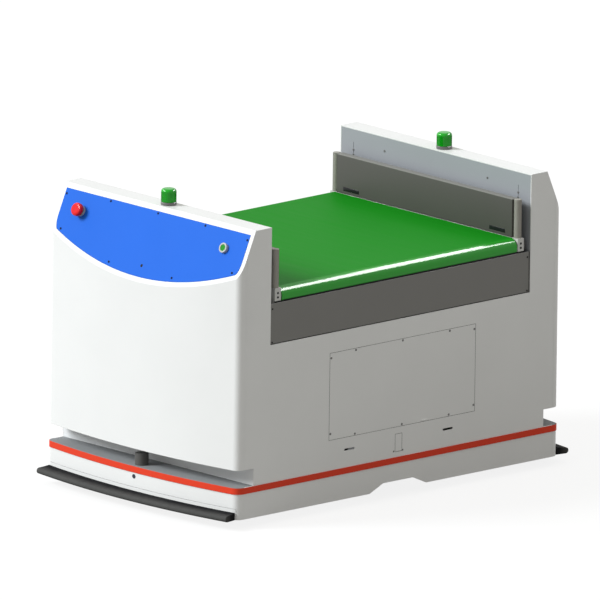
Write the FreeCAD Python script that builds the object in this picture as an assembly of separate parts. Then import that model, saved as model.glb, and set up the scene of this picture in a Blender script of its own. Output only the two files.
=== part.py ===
import FreeCAD, Part
import math
import os
from FreeCAD import Vector

# Autonomous mobile robot with a cross-belt conveyor between two end towers.
# Millimetres, +Z up, origin on the floor under the middle of the vehicle.
# The front faces -Y, the vehicle's left side is +X.

# ---------------------------------------------------------------- driving dimensions
# Body envelope
BODY_WIDTH = 820.0
BODY_CORNER_LENGTH = 1290.0      # between the corners of the two bowed ends
END_BOW = 35.0                   # how far each end bows out past its corners
CORNER_RADIUS = 25.0             # upright corners, seen from above
TOWER_TOP = 895.0
SHEET = 3.0                      # wall of every cover, panel and skirt
SEAM = 0.2                       # gap where two covers meet edge to edge
BOND = 0.1                       # gap round a curved piece that is bonded in place
OVERCUT = 1.0                    # how far a cutting tool runs past a face
RUNNING_FIT = 0.05               # radial gap of every shaft and stem in its bore

# Base
GROUND_CLEARANCE = 28.0
LEDGE_TOP = 124.5
TRIM_DROP = 1.0                  # from the ledge down to the trim's upper edge
TRIM_HEIGHT = 18.5
TRIM_PROUD = 2.0
NOTCH_TOP_WIDTH = 120.0
NOTCH_BOTTOM_WIDTH = 228.0
NOTCH_HEIGHT = 24.0
SKIRT_EYE_DROP = 31.5            # from the ledge down to the eye's centre
SKIRT_EYE_DIAMETER = 11.0

# Recess that the scanners look out of
RECESS_HEIGHT = 52.0
RECESS_DEPTH = 61.6              # from the body's corners back to the wall

# Towers, load bay and console slope
SLOPE_INSET = 58.0               # from the body's corners to where the slope starts
SLOPE_RISE = 2.3                 # fall per unit of outward run
TOWER_TOP_LENGTH = 64.5          # flat top between the slope and the load bay
FASCIA_DROP = 44.0               # from the belt down to the fascia's upper edge
FASCIA_HEIGHT = 123.5            # what shows above the side panel's cut-out
FASCIA_LAP = 19.5                # how far a fascia goes down behind the side panel

# Side openings
DOOR_LENGTH = 586.0
DOOR_BOTTOM = 215.0
DOOR_TOP = 478.0
DOOR_CENTRE_Y = 12.0
DOOR_GAP = 0.6
DOOR_REBATE = 15.0               # width of the rim behind an opening's edge
SLOT_Y = 198.0
SLOT_Z = 177.0
SLOT_LENGTH = 40.0
SLOT_HEIGHT = 6.5
SERVICE_WIDTH = 27.0
SERVICE_BOTTOM = 140.5
SERVICE_TOP = 193.0

# Console
PANEL_THICKNESS = 2.0
PANEL_RECESS = 1.5
PANEL_GAP = 0.5
PANEL_SIDE_MARGIN = 15.0
PANEL_BOTTOM_MARGIN = 6.0        # measured outward along Y
PANEL_TOP_MARGIN = 6.8           # measured outward along Y
PANEL_CORNER_RADIUS = 17.0
CONTROL_INSET = 102.0            # from the side of the body to a control's centre
CONTROL_DROP = 73.0              # down the slope from the shoulder
CONTROL_BORE = 22.5
LOCK_RING_THICKNESS = 6.0        # nut behind the cover that holds a control
CONSOLE_EYE_DROP = 184.0
CONSOLE_EYE_DIAMETER = 9.0

# Emergency stop and start button
ESTOP_HEAD_DIAMETER = 40.0
ESTOP_HEAD_THICKNESS = 13.0
ESTOP_HEAD_ROUND = 6.5
ESTOP_NECK_DIAMETER = 25.0
ESTOP_COLLAR_DIAMETER = 32.0
ESTOP_COLLAR_HEIGHT = 7.0
ESTOP_TRAVEL = 4.0
ESTOP_STOP_GAP = 1.0             # left between neck and collar when pressed
ESTOP_STEM_DIAMETER = 12.0
ESTOP_STEM_DEPTH = 12.0          # behind the slope plane
ESTOP_HEAD_STANDOFF = 15.0       # slope plane to the underside of the head
BUTTON_BEZEL_DIAMETER = 30.0
BUTTON_BEZEL_HEIGHT = 9.0
BUTTON_CAP_DIAMETER = 20.0
BUTTON_CAP_DROP = 1.0            # cap's face below the bezel's rim
BUTTON_TRAVEL = 3.0
BUTTON_STOP_GAP = 0.5            # left under the cap when pressed

# Beacons
BEACON_DIAMETER = 46.0
BEACON_BASE_HEIGHT = 10.0
BEACON_BASE_LIP = 0.5
BEACON_BASE_CHAMFER = 2.0
BEACON_LENS_HEIGHT = 39.0
BEACON_LENS_ROUND = 8.0
BEACON_STUD_DIAMETER = 12.0
BEACON_STUD_LENGTH = 9.0
ROUND_STEPS = 3                  # flats that make up a rounded rim

# Laser scanners on the ledges
SCANNER_DIAMETER = 40.5
SCANNER_HEIGHT = 35.0
SCANNER_INSET = 31.0             # from the tip of the bowed end
SCANNER_WALL = 3.0
SCANNER_ROTOR_DIAMETER = 26.0
SCANNER_ROTOR_HEIGHT = 20.0
SCANNER_PIN_DIAMETER = 6.0
SCANNER_PIN_TOP_GAP = 3.0        # pin's end to the inside of the lid

# Bumpers
BUMPER_OUT = 44.0                # how far the rubber stands out from the skirt
BUMPER_HEIGHT = 22.0
BUMPER_NOSE_RADIUS = 9.0
BUMPER_SHOULDER_OUT = 13.2       # where the upper face starts to fall away
BUMPER_SHOULDER_DROP = 2.0
BUMPER_END_INSET = 11.0          # from the side of the body to the rubber's end
BUMPER_CARRIER_HEIGHT = 32.0
BUMPER_CARRIER_INSET = 10.0      # from the side of the body to the carrier's end
BUMPER_GAP = 1.0                 # around the carrier in its cut-out
BUMPER_TRAVEL = 6.0
BUMPER_PIN_DIAMETER = 12.0
BUMPER_PIN_LENGTH = 60.0
BUMPER_PIN_X = 170.0
BUMPER_BUSH_LENGTH = 30.0
BUMPER_BUSH_WIDTH = 24.0

# Chassis tubes
TUBE = 40.0
TUBE_HEIGHT = 30.0
TUBE_WALL = 3.0
OUTRIGGER_GAP = 0.5              # outrigger's end to the inside of the skirt
CASTER_BAY = 160.0               # between the cross-members round a caster
DRIVE_BAY_GAP = 30.0             # drive tyre to the cross-members beside it
CASTER_SEAT_THICKNESS = 6.0
CASTER_SEAT_MARGIN = 22.5        # seat's edge past the caster's top plate

# Casters
CASTER_INSET = 165.0             # from the side of the body to the kingpin
CASTER_WHEEL_RADIUS = 40.0
CASTER_WHEEL_WIDTH = 28.0
CASTER_TRAIL = 30.0
CASTER_AXLE_RADIUS = 5.0
CASTER_AXLE_HEAD = 2.0           # axle bolt's ends past the fork legs
CASTER_TOP_PLATE = 90.0
CASTER_PLATE_THICKNESS = 5.0
CASTER_CROWN_RADIUS = 30.0
CASTER_CROWN_HEIGHT = 12.0
CASTER_KINGPIN_RADIUS = 6.0
CASTER_KINGPIN_LENGTH = 4.0      # the length that runs in the top plate
CASTER_KINGPIN_GAP = 0.5
CASTER_LEG_THICKNESS = 4.0
CASTER_LEG_SPREAD = 24.0         # half width of a leg at the crown
CASTER_BOSS_RADIUS = 11.0        # half width of a leg at the axle
CASTER_SIDE_GAP = 1.0
CASTER_TYRE_CHAMFER = 4.0

# Drive wheels
DRIVE_WHEEL_RADIUS = 80.0
DRIVE_WHEEL_WIDTH = 50.0
DRIVE_WHEEL_INSET = 190.0        # from the side of the body to the wheel's middle
DRIVE_TYRE_THICKNESS = 15.0
DRIVE_TYRE_CHAMFER = 5.0
DRIVE_RIM_WALL = 6.0
DRIVE_DISH_DEPTH = 20.0
DRIVE_BOSS_RADIUS = 20.0
DRIVE_SHAFT_RADIUS = 10.0
DRIVE_SHAFT_DEPTH = 20.0         # shaft's length inside the gearbox
DRIVE_BRACKET_GAP = 1.0          # hanger plate to the wheel
DRIVE_BRACKET_THICKNESS = 8.0
DRIVE_BRACKET_WIDTH = 130.0
GEARBOX_SIDE = 90.0
GEARBOX_LENGTH = 40.0
GEARBOX_NOSE_RADIUS = 30.0
DRIVE_MOTOR_RADIUS = 40.0
DRIVE_MOTOR_END_X = 36.0         # motor's back end from the vehicle's middle

# Inside equipment
TRAY_GAP = 1.0
BATTERY_WIDTH = 400.0
BATTERY_LENGTH = 240.0
BATTERY_HEIGHT = 200.0
CABINET_WIDTH = 300.0
CABINET_LENGTH = 180.0
CABINET_HEIGHT = 250.0
EQUIPMENT_GAP = 60.0             # from a tray's inner end to what stands on it

# Upper frame
POST = 30.0
DECK_BEAM_HEIGHT = 60.0
DECK_BEAM_WIDTH = 30.0

# Conveyor
BELT_TOP = 707.0
BELT_END_GAP = 49.5              # belt's edge to the tower's wall
BELT_SIDE_GAP = 4.0              # belt's edge to the side frame
BELT_THICKNESS = 3.0
BELT_CLEARANCE = 0.3             # belt to roller and to the slider bed
BELT_INSET = 5.0                 # belt's nose behind the side of the body
ROLLER_RADIUS = 25.0
ROLLER_SHAFT_RADIUS = 7.5
SIDE_FRAME_THICKNESS = 24.0
SIDE_FRAME_DROP = 1.0            # side frame's top below the belt's
SIDE_FRAME_HEIGHT = 121.0
SIDE_FRAME_END_INSET = 12.0
BLOCK_LENGTH = 56.0
BLOCK_HEIGHT = 61.0
BLOCK_FASCIA_GAP = 0.3           # bearing block's end to the fascia's inner face
GROOVE_RISE = 10.0               # groove in the side frame above the blocks' foot
GROOVE_HEIGHT = 12.0
GROOVE_DEPTH = 8.0
GUARD_HEIGHT = 116.0
GUARD_END_INSET = 5.0
GUARD_WALL = 3.0
GUARD_INNER_WALL = 6.0           # on the belt side, deep enough for the sensors
GUARD_END_WALL = 12.0
SLIDER_BED_SHEET = 3.0
SENSOR_INSET = 96.0              # from the side of the body to a sensor's middle
SENSOR_LENGTH = 70.0
SENSOR_HEIGHT = 12.0
SENSOR_RISE = 8.0                # above the belt
SENSOR_DEPTH = 5.0
PULLEY_WIDTH = 10.0
PULLEY_GAP = 3.0                 # side frame to the pulleys
ROLLER_PULLEY_RADIUS = 20.0
MOTOR_PULLEY_RADIUS = 16.0
TIMING_BELT_THICKNESS = 2.0
TIMING_BELT_MARGIN = 1.0         # pulley's edge past the timing belt's
CONVEYOR_MOTOR_BACK = 106.7      # motor's axis behind and below the drive roller's
CONVEYOR_MOTOR_DROP = 64.7
CONVEYOR_MOTOR_RADIUS = 32.0
CONVEYOR_MOTOR_LENGTH = 130.0
CONVEYOR_SHAFT_RADIUS = 6.0
CONVEYOR_SHAFT_DEPTH = 28.0      # shaft's length inside the motor
CONVEYOR_SHAFT_END_GAP = 2.0
CONVEYOR_SHAFT_HOLE = 9.0        # radius of the hole in the side frame

# ---------------------------------------------------------------- worked-out values
HALF_WIDTH = BODY_WIDTH / 2
HALF_CORNER = BODY_CORNER_LENGTH / 2
END_RADIUS = (HALF_WIDTH ** 2 + END_BOW ** 2) / (2 * END_BOW)
END_CENTRE = HALF_CORNER + END_BOW - END_RADIUS      # arc centre of the +Y end
BODY_END = HALF_CORNER + END_BOW
INNER_X = HALF_WIDTH - SHEET                         # inner face of the side panels
SEAM_Y = HALF_CORNER - CORNER_RADIUS                 # where flat sides meet the ends
LEDGE_BOTTOM = LEDGE_TOP - SHEET
TRIM_TOP = LEDGE_TOP - TRIM_DROP
SKIRT_EYE_Z = LEDGE_TOP - SKIRT_EYE_DROP
RECESS_TOP = LEDGE_TOP + RECESS_HEIGHT
RECESS_WALL_Y = HALF_CORNER - RECESS_DEPTH
SHOULDER_Y = HALF_CORNER - SLOPE_INSET               # where the slope starts
BAY_HALF_LENGTH = SHOULDER_Y - TOWER_TOP_LENGTH
FASCIA_TOP = BELT_TOP - FASCIA_DROP
BAY_FLOOR = FASCIA_TOP - FASCIA_HEIGHT               # lower edge of the side cut-out
SLOPE_UNIT = math.hypot(1.0, SLOPE_RISE)
PANEL_FACE = PANEL_THICKNESS - PANEL_RECESS          # panel's face above the slope
CONTROL_X = HALF_WIDTH - CONTROL_INSET
SCANNER_Y = BODY_END - SCANNER_INSET

TUBE_BOTTOM = LEDGE_BOTTOM - TUBE_HEIGHT
CROSS_END_Y = RECESS_WALL_Y - SHEET - TUBE / 2
CROSS_MID_Y = CROSS_END_Y - CASTER_BAY
CROSS_DRIVE_Y = DRIVE_WHEEL_RADIUS + DRIVE_BAY_GAP + TUBE / 2
TRAY_INNER_Y = CROSS_DRIVE_Y + TUBE / 2
BUMPER_CARRIER_END = HALF_WIDTH - BUMPER_CARRIER_INSET
BUMPER_PIN_Z = GROUND_CLEARANCE + BUMPER_CARRIER_HEIGHT / 2
CASTER_X = HALF_WIDTH - CASTER_INSET
CASTER_Y = CROSS_END_Y - CASTER_BAY / 2
CASTER_PLATE_BOTTOM = LEDGE_BOTTOM - CASTER_SEAT_THICKNESS - CASTER_PLATE_THICKNESS
CASTER_AXLE_Y = -CASTER_Y + CASTER_TRAIL
DRIVE_WHEEL_X = HALF_WIDTH - DRIVE_WHEEL_INSET
DRIVE_BRACKET_OUTER_X = DRIVE_WHEEL_X - DRIVE_WHEEL_WIDTH / 2 - DRIVE_BRACKET_GAP
DRIVE_BRACKET_INNER_X = DRIVE_BRACKET_OUTER_X - DRIVE_BRACKET_THICKNESS

ROLLER_X = HALF_WIDTH - BELT_INSET - ROLLER_RADIUS - BELT_CLEARANCE - BELT_THICKNESS
ROLLER_Z = BELT_TOP - ROLLER_RADIUS - BELT_CLEARANCE - BELT_THICKNESS
BELT_HALF_WIDTH = BAY_HALF_LENGTH - BELT_END_GAP
SIDE_FRAME_INNER_Y = BELT_HALF_WIDTH + BELT_SIDE_GAP
SIDE_FRAME_OUTER_Y = SIDE_FRAME_INNER_Y + SIDE_FRAME_THICKNESS
SIDE_FRAME_TOP = BELT_TOP - SIDE_FRAME_DROP
BLOCK_BOTTOM = SIDE_FRAME_TOP - BLOCK_HEIGHT
DECK_BEAM_TOP = SIDE_FRAME_TOP - SIDE_FRAME_HEIGHT
GUARD_TOP = SIDE_FRAME_TOP + GUARD_HEIGHT
POST_X = INNER_X - POST / 2
POST_Y = BAY_HALF_LENGTH + SHEET + POST / 2
FASCIA_OUTER_X = INNER_X - SEAM
BLOCK_END_X = FASCIA_OUTER_X - SHEET - BLOCK_FASCIA_GAP
DECK_BEAM_X = FASCIA_OUTER_X - SHEET - DECK_BEAM_WIDTH / 2
SENSOR_X = HALF_WIDTH - SENSOR_INSET
SENSOR_BOTTOM = BELT_TOP + SENSOR_RISE
CONVEYOR_MOTOR_X = ROLLER_X - CONVEYOR_MOTOR_BACK
CONVEYOR_MOTOR_Z = ROLLER_Z - CONVEYOR_MOTOR_DROP
PULLEY_LOW = SIDE_FRAME_OUTER_Y + PULLEY_GAP
PULLEY_HIGH = PULLEY_LOW + PULLEY_WIDTH
FAR = 2 * (BODY_WIDTH + BODY_CORNER_LENGTH + TOWER_TOP)   # past every face


# ---------------------------------------------------------------- helpers
def box(x_range, y_range, z_range):
    size = [high - low for low, high in (x_range, y_range, z_range)]
    corner = Vector(x_range[0], y_range[0], z_range[0])
    return Part.makeBox(size[0], size[1], size[2], corner)


def around(middle, width):
    return middle - width / 2, middle + width / 2


def cylinder(radius, start, end):
    axis = end - start
    return Part.makeCylinder(radius, axis.Length, start, axis)


def along_x(radius, x_range, y, z):
    return cylinder(radius, Vector(x_range[0], y, z), Vector(x_range[1], y, z))


def along_y(radius, x, y_range, z):
    return cylinder(radius, Vector(x, y_range[0], z), Vector(x, y_range[1], z))


def along_z(radius, x, y, z_range):
    return cylinder(radius, Vector(x, y, z_range[0]), Vector(x, y, z_range[1]))


def mirror_x(shape):
    return shape.mirror(Vector(0, 0, 0), Vector(1, 0, 0))


def mirror_y(shape):
    return shape.mirror(Vector(0, 0, 0), Vector(0, 1, 0))


def both_sides(shape):
    return [shape, mirror_x(shape)]


def both_ends(shape):
    return [shape, mirror_y(shape)]


def four_corners(shape):
    return [copy for side in both_sides(shape) for copy in both_ends(side)]


def extrude_yz(points, x_range):
    outline = Part.makePolygon([Vector(x_range[0], y, z) for y, z in points + points[:1]])
    return Part.Face(outline).extrude(Vector(x_range[1] - x_range[0], 0, 0))


def revolve_profile(points, centre):
    """Turns (radius, height) points about the upright line through centre."""
    path = Part.makePolygon([Vector(r, 0, z) for r, z in points + points[:1]])
    solid = Part.Face(path).revolve(Vector(0, 0, 0), Vector(0, 0, 1), 360)
    solid.translate(centre)
    return solid


def rounded_rim(radius, top, rounding):
    """Profile points of a rim that rounds over from the side to the top."""
    points = []
    for step in range(ROUND_STEPS + 1):
        turn = math.pi / 2 * step / ROUND_STEPS
        points.append((radius - rounding * (1 - math.cos(turn)), top - rounding * (1 - math.sin(turn))))
    return points


def as_solids(shapes):
    found = []
    for shape in shapes:
        found.extend(shape.Solids)
    return found


def save(node, shapes):
    solids = as_solids(shapes if isinstance(shapes, list) else [shapes])
    whole = solids[0] if len(solids) == 1 else Part.Compound(solids)
    whole.exportStep("parts/" + node + ".step")


# ---------------------------------------------------------------- body outline
def plan_prism(side_inset, end_inset, z_range, corner_radius=None):
    """The body's plan, drawn in by the given insets, as an upright prism."""
    half = HALF_WIDTH - side_inset
    radius = END_RADIUS - end_inset
    corner = END_CENTRE + math.sqrt(radius ** 2 - half ** 2)
    tip = END_CENTRE + radius
    low, high = z_range
    edges = []
    uprights = []
    for end in (1, -1):
        start = Vector(end * half, end * corner, low)
        stop = Vector(-end * half, end * corner, low)
        arc = Part.Arc(start, Vector(0, end * tip, low), stop)
        edges.append(arc.toShape())
        edges.append(Part.makeLine(stop, Vector(-end * half, -end * corner, low)))
    prism = Part.Face(Part.Wire(edges)).extrude(Vector(0, 0, high - low))
    for edge in prism.Edges:
        foot, head = edge.Vertexes[0].Point, edge.Vertexes[-1].Point
        if abs(foot.z - head.z) > (high - low) / 2:
            uprights.append(edge)
    fillet = CORNER_RADIUS - side_inset if corner_radius is None else corner_radius
    return prism.makeFillet(fillet, uprights)


def slope_point(x, drop, out=0.0):
    """A point on the front slope: drop runs down the slope, out stands off it."""
    run = drop / SLOPE_UNIT
    y = -(SHOULDER_Y + run + out * SLOPE_RISE / SLOPE_UNIT)
    return Vector(x, y, TOWER_TOP - run * SLOPE_RISE + out / SLOPE_UNIT)


def above_slope(depth):
    """Everything in front of the front slope plane moved inward by depth."""
    corners = [slope_point(0, -TOWER_TOP, -depth), slope_point(0, TOWER_TOP, -depth),
               slope_point(0, TOWER_TOP, TOWER_TOP), slope_point(0, -TOWER_TOP, TOWER_TOP)]
    return extrude_yz([(p.y, p.z) for p in corners], (-BODY_WIDTH, BODY_WIDTH))


def body_envelope(inset, low):
    """The body above the recess, drawn in by inset, with both slopes cut."""
    prism = plan_prism(inset, inset, (low, TOWER_TOP - inset))
    return prism.cut(both_ends(above_slope(inset)))


def side_strips(low, high):
    """The room of the flat side sheets, which the end pieces leave free."""
    reach = HALF_WIDTH + TRIM_PROUD + OVERCUT
    strip = box((INNER_X, reach), (-SEAM_Y - SEAM, SEAM_Y + SEAM), (low, high))
    return both_sides(strip)


def skirt_inner_y(x, gap):
    """How far out the inside of an end skirt is at x, less a gap."""
    radius = END_RADIUS - SHEET - gap
    return END_CENTRE + math.sqrt(radius ** 2 - x ** 2)


# ---------------------------------------------------------------- base and chassis
def tube_along_x(x_range, y):
    z_range = (TUBE_BOTTOM, LEDGE_BOTTOM)
    return hollow_tube(x_range, around(y, TUBE), z_range, (0, TUBE_WALL, TUBE_WALL))


def tube_along_y(x, y_range):
    z_range = (TUBE_BOTTOM, LEDGE_BOTTOM)
    return hollow_tube(around(x, TUBE), y_range, z_range, (TUBE_WALL, 0, TUBE_WALL))


def hollow_tube(x_range, y_range, z_range, walls):
    """A box tube that is open along the axis whose wall is 0."""
    ranges = (x_range, y_range, z_range)
    inner = [(low + wall, high - wall) for (low, high), wall in zip(ranges, walls)]
    return box(*ranges).cut(box(*inner))


def chassis_frame():
    """Ladder of box tubes with the caster seats, outriggers and bumper bushes."""
    rail_x = INNER_X - TUBE / 2
    rail_end = CROSS_END_Y + TUBE / 2
    pieces = both_sides(tube_along_y(rail_x, (-rail_end, rail_end)))
    inside = rail_x - TUBE / 2
    for y in (CROSS_END_Y, CROSS_MID_Y, CROSS_DRIVE_Y):
        pieces += both_ends(tube_along_x((-inside, inside), -y))
    nose = skirt_inner_y(BUMPER_PIN_X + TUBE / 2, OUTRIGGER_GAP)
    pieces += four_corners(tube_along_y(BUMPER_PIN_X, (-nose, -rail_end)))
    seat_width = CASTER_TOP_PLATE + 2 * CASTER_SEAT_MARGIN
    seat_y = (-CROSS_END_Y + TUBE / 2, -CROSS_MID_Y - TUBE / 2)
    seat = box(around(CASTER_X, seat_width), seat_y, (LEDGE_BOTTOM - CASTER_SEAT_THICKNESS, LEDGE_BOTTOM))
    return pieces + four_corners(seat) + four_corners(bumper_bush())


def bumper_bush():
    """A bush block hung under an outrigger, in which a bumper pin slides."""
    y_end = -(HALF_CORNER - SHEET - BUMPER_TRAVEL * 2)
    y_range = (y_end, y_end + BUMPER_BUSH_LENGTH)
    block = box(around(BUMPER_PIN_X, BUMPER_BUSH_WIDTH), y_range,
                (BUMPER_PIN_Z - BUMPER_BUSH_WIDTH / 2, TUBE_BOTTOM))
    bore_y = (y_range[0] - OVERCUT, y_range[1] + OVERCUT)
    return block.cut(along_y(BUMPER_PIN_DIAMETER / 2 + RUNNING_FIT, BUMPER_PIN_X, bore_y, BUMPER_PIN_Z))


def end_skirt():
    z_range = (GROUND_CLEARANCE, LEDGE_BOTTOM)
    ring = plan_prism(0, 0, z_range).cut(plan_prism(SHEET, SHEET, z_range))
    end = ring.common(box((-FAR, FAR), (-FAR, -SEAM_Y - SEAM), z_range))
    cut_half = BUMPER_CARRIER_END + BUMPER_GAP
    cut_top = GROUND_CLEARANCE + BUMPER_CARRIER_HEIGHT + BUMPER_GAP
    return end.cut(box((-cut_half, cut_half), (-FAR, -SEAM_Y), (0, cut_top)))


def side_skirt():
    low, high = GROUND_CLEARANCE, LEDGE_TOP - SEAM
    sheet = box((INNER_X, HALF_WIDTH), (-SEAM_Y, SEAM_Y), (low, high))
    notch = [(-NOTCH_BOTTOM_WIDTH / 2, low), (-NOTCH_TOP_WIDTH / 2, low + NOTCH_HEIGHT),
             (NOTCH_TOP_WIDTH / 2, low + NOTCH_HEIGHT), (NOTCH_BOTTOM_WIDTH / 2, low)]
    return sheet.cut(extrude_yz(notch, (INNER_X - OVERCUT, HALF_WIDTH + OVERCUT)))


def red_trim_band():
    z_range = (TRIM_TOP - TRIM_HEIGHT, TRIM_TOP)
    outer = plan_prism(-TRIM_PROUD, -TRIM_PROUD, z_range)
    return outer.cut(plan_prism(-BOND, -BOND, z_range))


def end_ledge():
    z_range = (LEDGE_BOTTOM, LEDGE_TOP)
    ledge = plan_prism(0, 0, z_range)
    ledge = ledge.common(box((-FAR, FAR), (-FAR, -RECESS_WALL_Y + SHEET), z_range))
    return ledge.cut(side_strips(*z_range))


def recess_wall():
    y_range = (-RECESS_WALL_Y, -RECESS_WALL_Y + SHEET)
    return box((-INNER_X, INNER_X), y_range, (LEDGE_TOP, RECESS_TOP))


# ---------------------------------------------------------------- covers and panels
def end_cover():
    """The bowed shell of one tower: front skin, slope, flat top and closed underside."""
    shell = body_envelope(0, RECESS_TOP).cut(body_envelope(SHEET, RECESS_TOP + SHEET))
    keep = box((-FAR, FAR), (-FAR, -BAY_HALF_LENGTH), (RECESS_TOP, TOWER_TOP))
    open_floor = box((-FAR, FAR), (-RECESS_WALL_Y + SHEET, 0), (RECESS_TOP, RECESS_TOP + SHEET))
    seat = beacon_seat()
    stud_hole = along_z(BEACON_STUD_DIAMETER / 2 + BOND, seat.x, seat.y,
                        (seat.z - SHEET - OVERCUT, seat.z + OVERCUT))
    return shell.common(keep).cut(side_strips(RECESS_TOP, TOWER_TOP) + [open_floor, stud_hole])


def console_slab(gap, depth, proud):
    """The console panel's outline, grown by gap, between two planes along the slope."""
    height = (RECESS_TOP, TOWER_TOP)
    end = PANEL_BOTTOM_MARGIN - gap / SLOPE_UNIT
    outline = plan_prism(PANEL_SIDE_MARGIN - gap, end, height, PANEL_CORNER_RADIUS)
    top_edge = SHOULDER_Y + PANEL_TOP_MARGIN - gap / SLOPE_UNIT
    tall = outline.common(box((-FAR, FAR), (-FAR, -top_edge), height))
    return tall.common(above_slope(depth).cut(above_slope(-proud)))


def on_slope(x, drop, radius, low, high):
    """A cylinder square to the front slope, between two heights off its plane."""
    return cylinder(radius, slope_point(x, drop, low), slope_point(x, drop, high))


def console_holes():
    """Holes for the two controls and the eye, through the cover and the panel."""
    low, high = -SHEET - OVERCUT, PANEL_FACE + OVERCUT
    holes = [on_slope(x, CONTROL_DROP, CONTROL_BORE / 2, low, high) for x in (-CONTROL_X, CONTROL_X)]
    holes.append(on_slope(0, CONSOLE_EYE_DROP, CONSOLE_EYE_DIAMETER / 2 + BOND, low, high))
    return holes


def front_cover():
    pocket = console_slab(PANEL_GAP, PANEL_RECESS, SHEET)
    return end_cover().cut([pocket] + console_holes())


def console_panel():
    return console_slab(0, PANEL_RECESS, PANEL_FACE).cut(console_holes())


def tower_outline():
    """Half of the side panel's outline, from the load bay to the front corner."""
    corner_top = TOWER_TOP - (SEAM_Y - SHOULDER_Y) * SLOPE_RISE
    return [(-BAY_HALF_LENGTH, BAY_FLOOR), (-BAY_HALF_LENGTH, TOWER_TOP), (-SHOULDER_Y, TOWER_TOP),
            (-SEAM_Y, corner_top), (-SEAM_Y, RECESS_TOP), (-RECESS_WALL_Y, RECESS_TOP),
            (-RECESS_WALL_Y, LEDGE_TOP)]


def door_range(grow):
    y_range = around(DOOR_CENTRE_Y, DOOR_LENGTH + 2 * grow)
    return y_range, (DOOR_BOTTOM - grow, DOOR_TOP + grow)


def service_range(grow):
    y_range = around(0, SERVICE_WIDTH + 2 * grow)
    return y_range, (SERVICE_BOTTOM - grow, SERVICE_TOP + grow)


def rebate(y_range, z_range):
    """A rim welded behind an opening, on which its plate seats."""
    width = min(DOOR_REBATE, (y_range[1] - y_range[0]) / 3)
    x_range = (INNER_X - SHEET, INNER_X)
    (y_low, y_high), (z_low, z_high) = y_range, z_range
    outer = box(x_range, (y_low - width, y_high + width), (z_low - width, z_high + width))
    return outer.cut(box(x_range, (y_low + width, y_high - width), (z_low + width, z_high - width)))


def side_panel():
    """The U-shaped side: one sheet with rebated rims behind the door and the small plate."""
    front = tower_outline()
    rear = [(-y, z) for y, z in reversed(front)]
    sheet = extrude_yz(front + rear, (INNER_X, HALF_WIDTH))
    through = (INNER_X - OVERCUT, HALF_WIDTH + OVERCUT)
    tools = [box(through, *door_range(DOOR_GAP)), box(through, *service_range(DOOR_GAP))]
    for y in (-SLOT_Y, SLOT_Y):
        tools.append(box(through, around(y, SLOT_LENGTH), around(SLOT_Z, SLOT_HEIGHT)))
    rims = [rebate(*door_range(DOOR_GAP)), rebate(*service_range(DOOR_GAP))]
    return sheet.cut(tools).multiFuse(rims)


def access_door():
    return box((INNER_X, HALF_WIDTH), *door_range(0))


def service_plate():
    return box((INNER_X, HALF_WIDTH), *service_range(0))


def tower_wall():
    y_range = (-BAY_HALF_LENGTH - SHEET, -BAY_HALF_LENGTH)
    z_range = (DECK_BEAM_TOP + SEAM, TOWER_TOP - SHEET - SEAM)
    return box((-INNER_X + SEAM, INNER_X - SEAM), y_range, z_range)


def bay_fascia():
    y_half = BAY_HALF_LENGTH - SHEET / 2
    x_range = (FASCIA_OUTER_X - SHEET, FASCIA_OUTER_X)
    return box(x_range, (-y_half, y_half), (BAY_FLOOR - FASCIA_LAP, FASCIA_TOP))


# ---------------------------------------------------------------- controls
def sensor_windows():
    """The console's eye and the eye in the front skirt."""
    eye = on_slope(0, CONSOLE_EYE_DROP, CONSOLE_EYE_DIAMETER / 2, -SHEET, PANEL_FACE + SEAM)
    plug = along_y(SKIRT_EYE_DIAMETER / 2 - BOND, 0, (-BODY_END - SEAM, -BODY_END + SHEET), SKIRT_EYE_Z)
    return [eye, plug]


def skirt_eye_hole():
    return along_y(SKIRT_EYE_DIAMETER / 2, 0, (-FAR, -SEAM_Y), SKIRT_EYE_Z)


def turned_on_slope(points, x):
    """Turns (radius, height) points about a control's axis, square to the slope."""
    solid = revolve_profile(points, Vector(0, 0, 0))
    solid.rotate(Vector(0, 0, 0), Vector(1, 0, 0), math.degrees(math.atan(SLOPE_RISE)))
    solid.translate(slope_point(x, CONTROL_DROP))
    return solid


def control_body(radius, height, bore):
    """Collar on the panel, barrel through it and the lock ring behind, as one profile."""
    barrel = CONTROL_BORE / 2 - BOND
    ring_low = -SHEET - LOCK_RING_THICKNESS
    top = PANEL_FACE + height
    return [(bore, ring_low), (radius, ring_low), (radius, -SHEET), (barrel, -SHEET), (barrel, PANEL_FACE),
            (radius, PANEL_FACE), (radius, top), (bore, top)]


def estop_base():
    bore = ESTOP_STEM_DIAMETER / 2 + RUNNING_FIT
    return turned_on_slope(control_body(ESTOP_COLLAR_DIAMETER / 2, ESTOP_COLLAR_HEIGHT, bore), -CONTROL_X)


def estop_stem():
    radius = ESTOP_STEM_DIAMETER / 2
    return on_slope(-CONTROL_X, CONTROL_DROP, radius, -ESTOP_STEM_DEPTH, ESTOP_HEAD_STANDOFF)


def estop_head():
    """Mushroom head with a rounded face and a narrower neck, seated on the stem."""
    radius = ESTOP_HEAD_DIAMETER / 2
    neck = ESTOP_NECK_DIAMETER / 2
    socket = ESTOP_STEM_DIAMETER / 2 + RUNNING_FIT
    neck_low = PANEL_FACE + ESTOP_COLLAR_HEIGHT + ESTOP_TRAVEL + ESTOP_STOP_GAP
    top = ESTOP_HEAD_STANDOFF + ESTOP_HEAD_THICKNESS
    socket_top = ESTOP_HEAD_STANDOFF + BOND
    profile = [(socket, neck_low), (neck, neck_low), (neck, ESTOP_HEAD_STANDOFF),
               (radius, ESTOP_HEAD_STANDOFF)]
    profile += rounded_rim(radius, top, ESTOP_HEAD_ROUND)
    return turned_on_slope(profile + [(0, top), (0, socket_top), (socket, socket_top)], -CONTROL_X)


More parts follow.
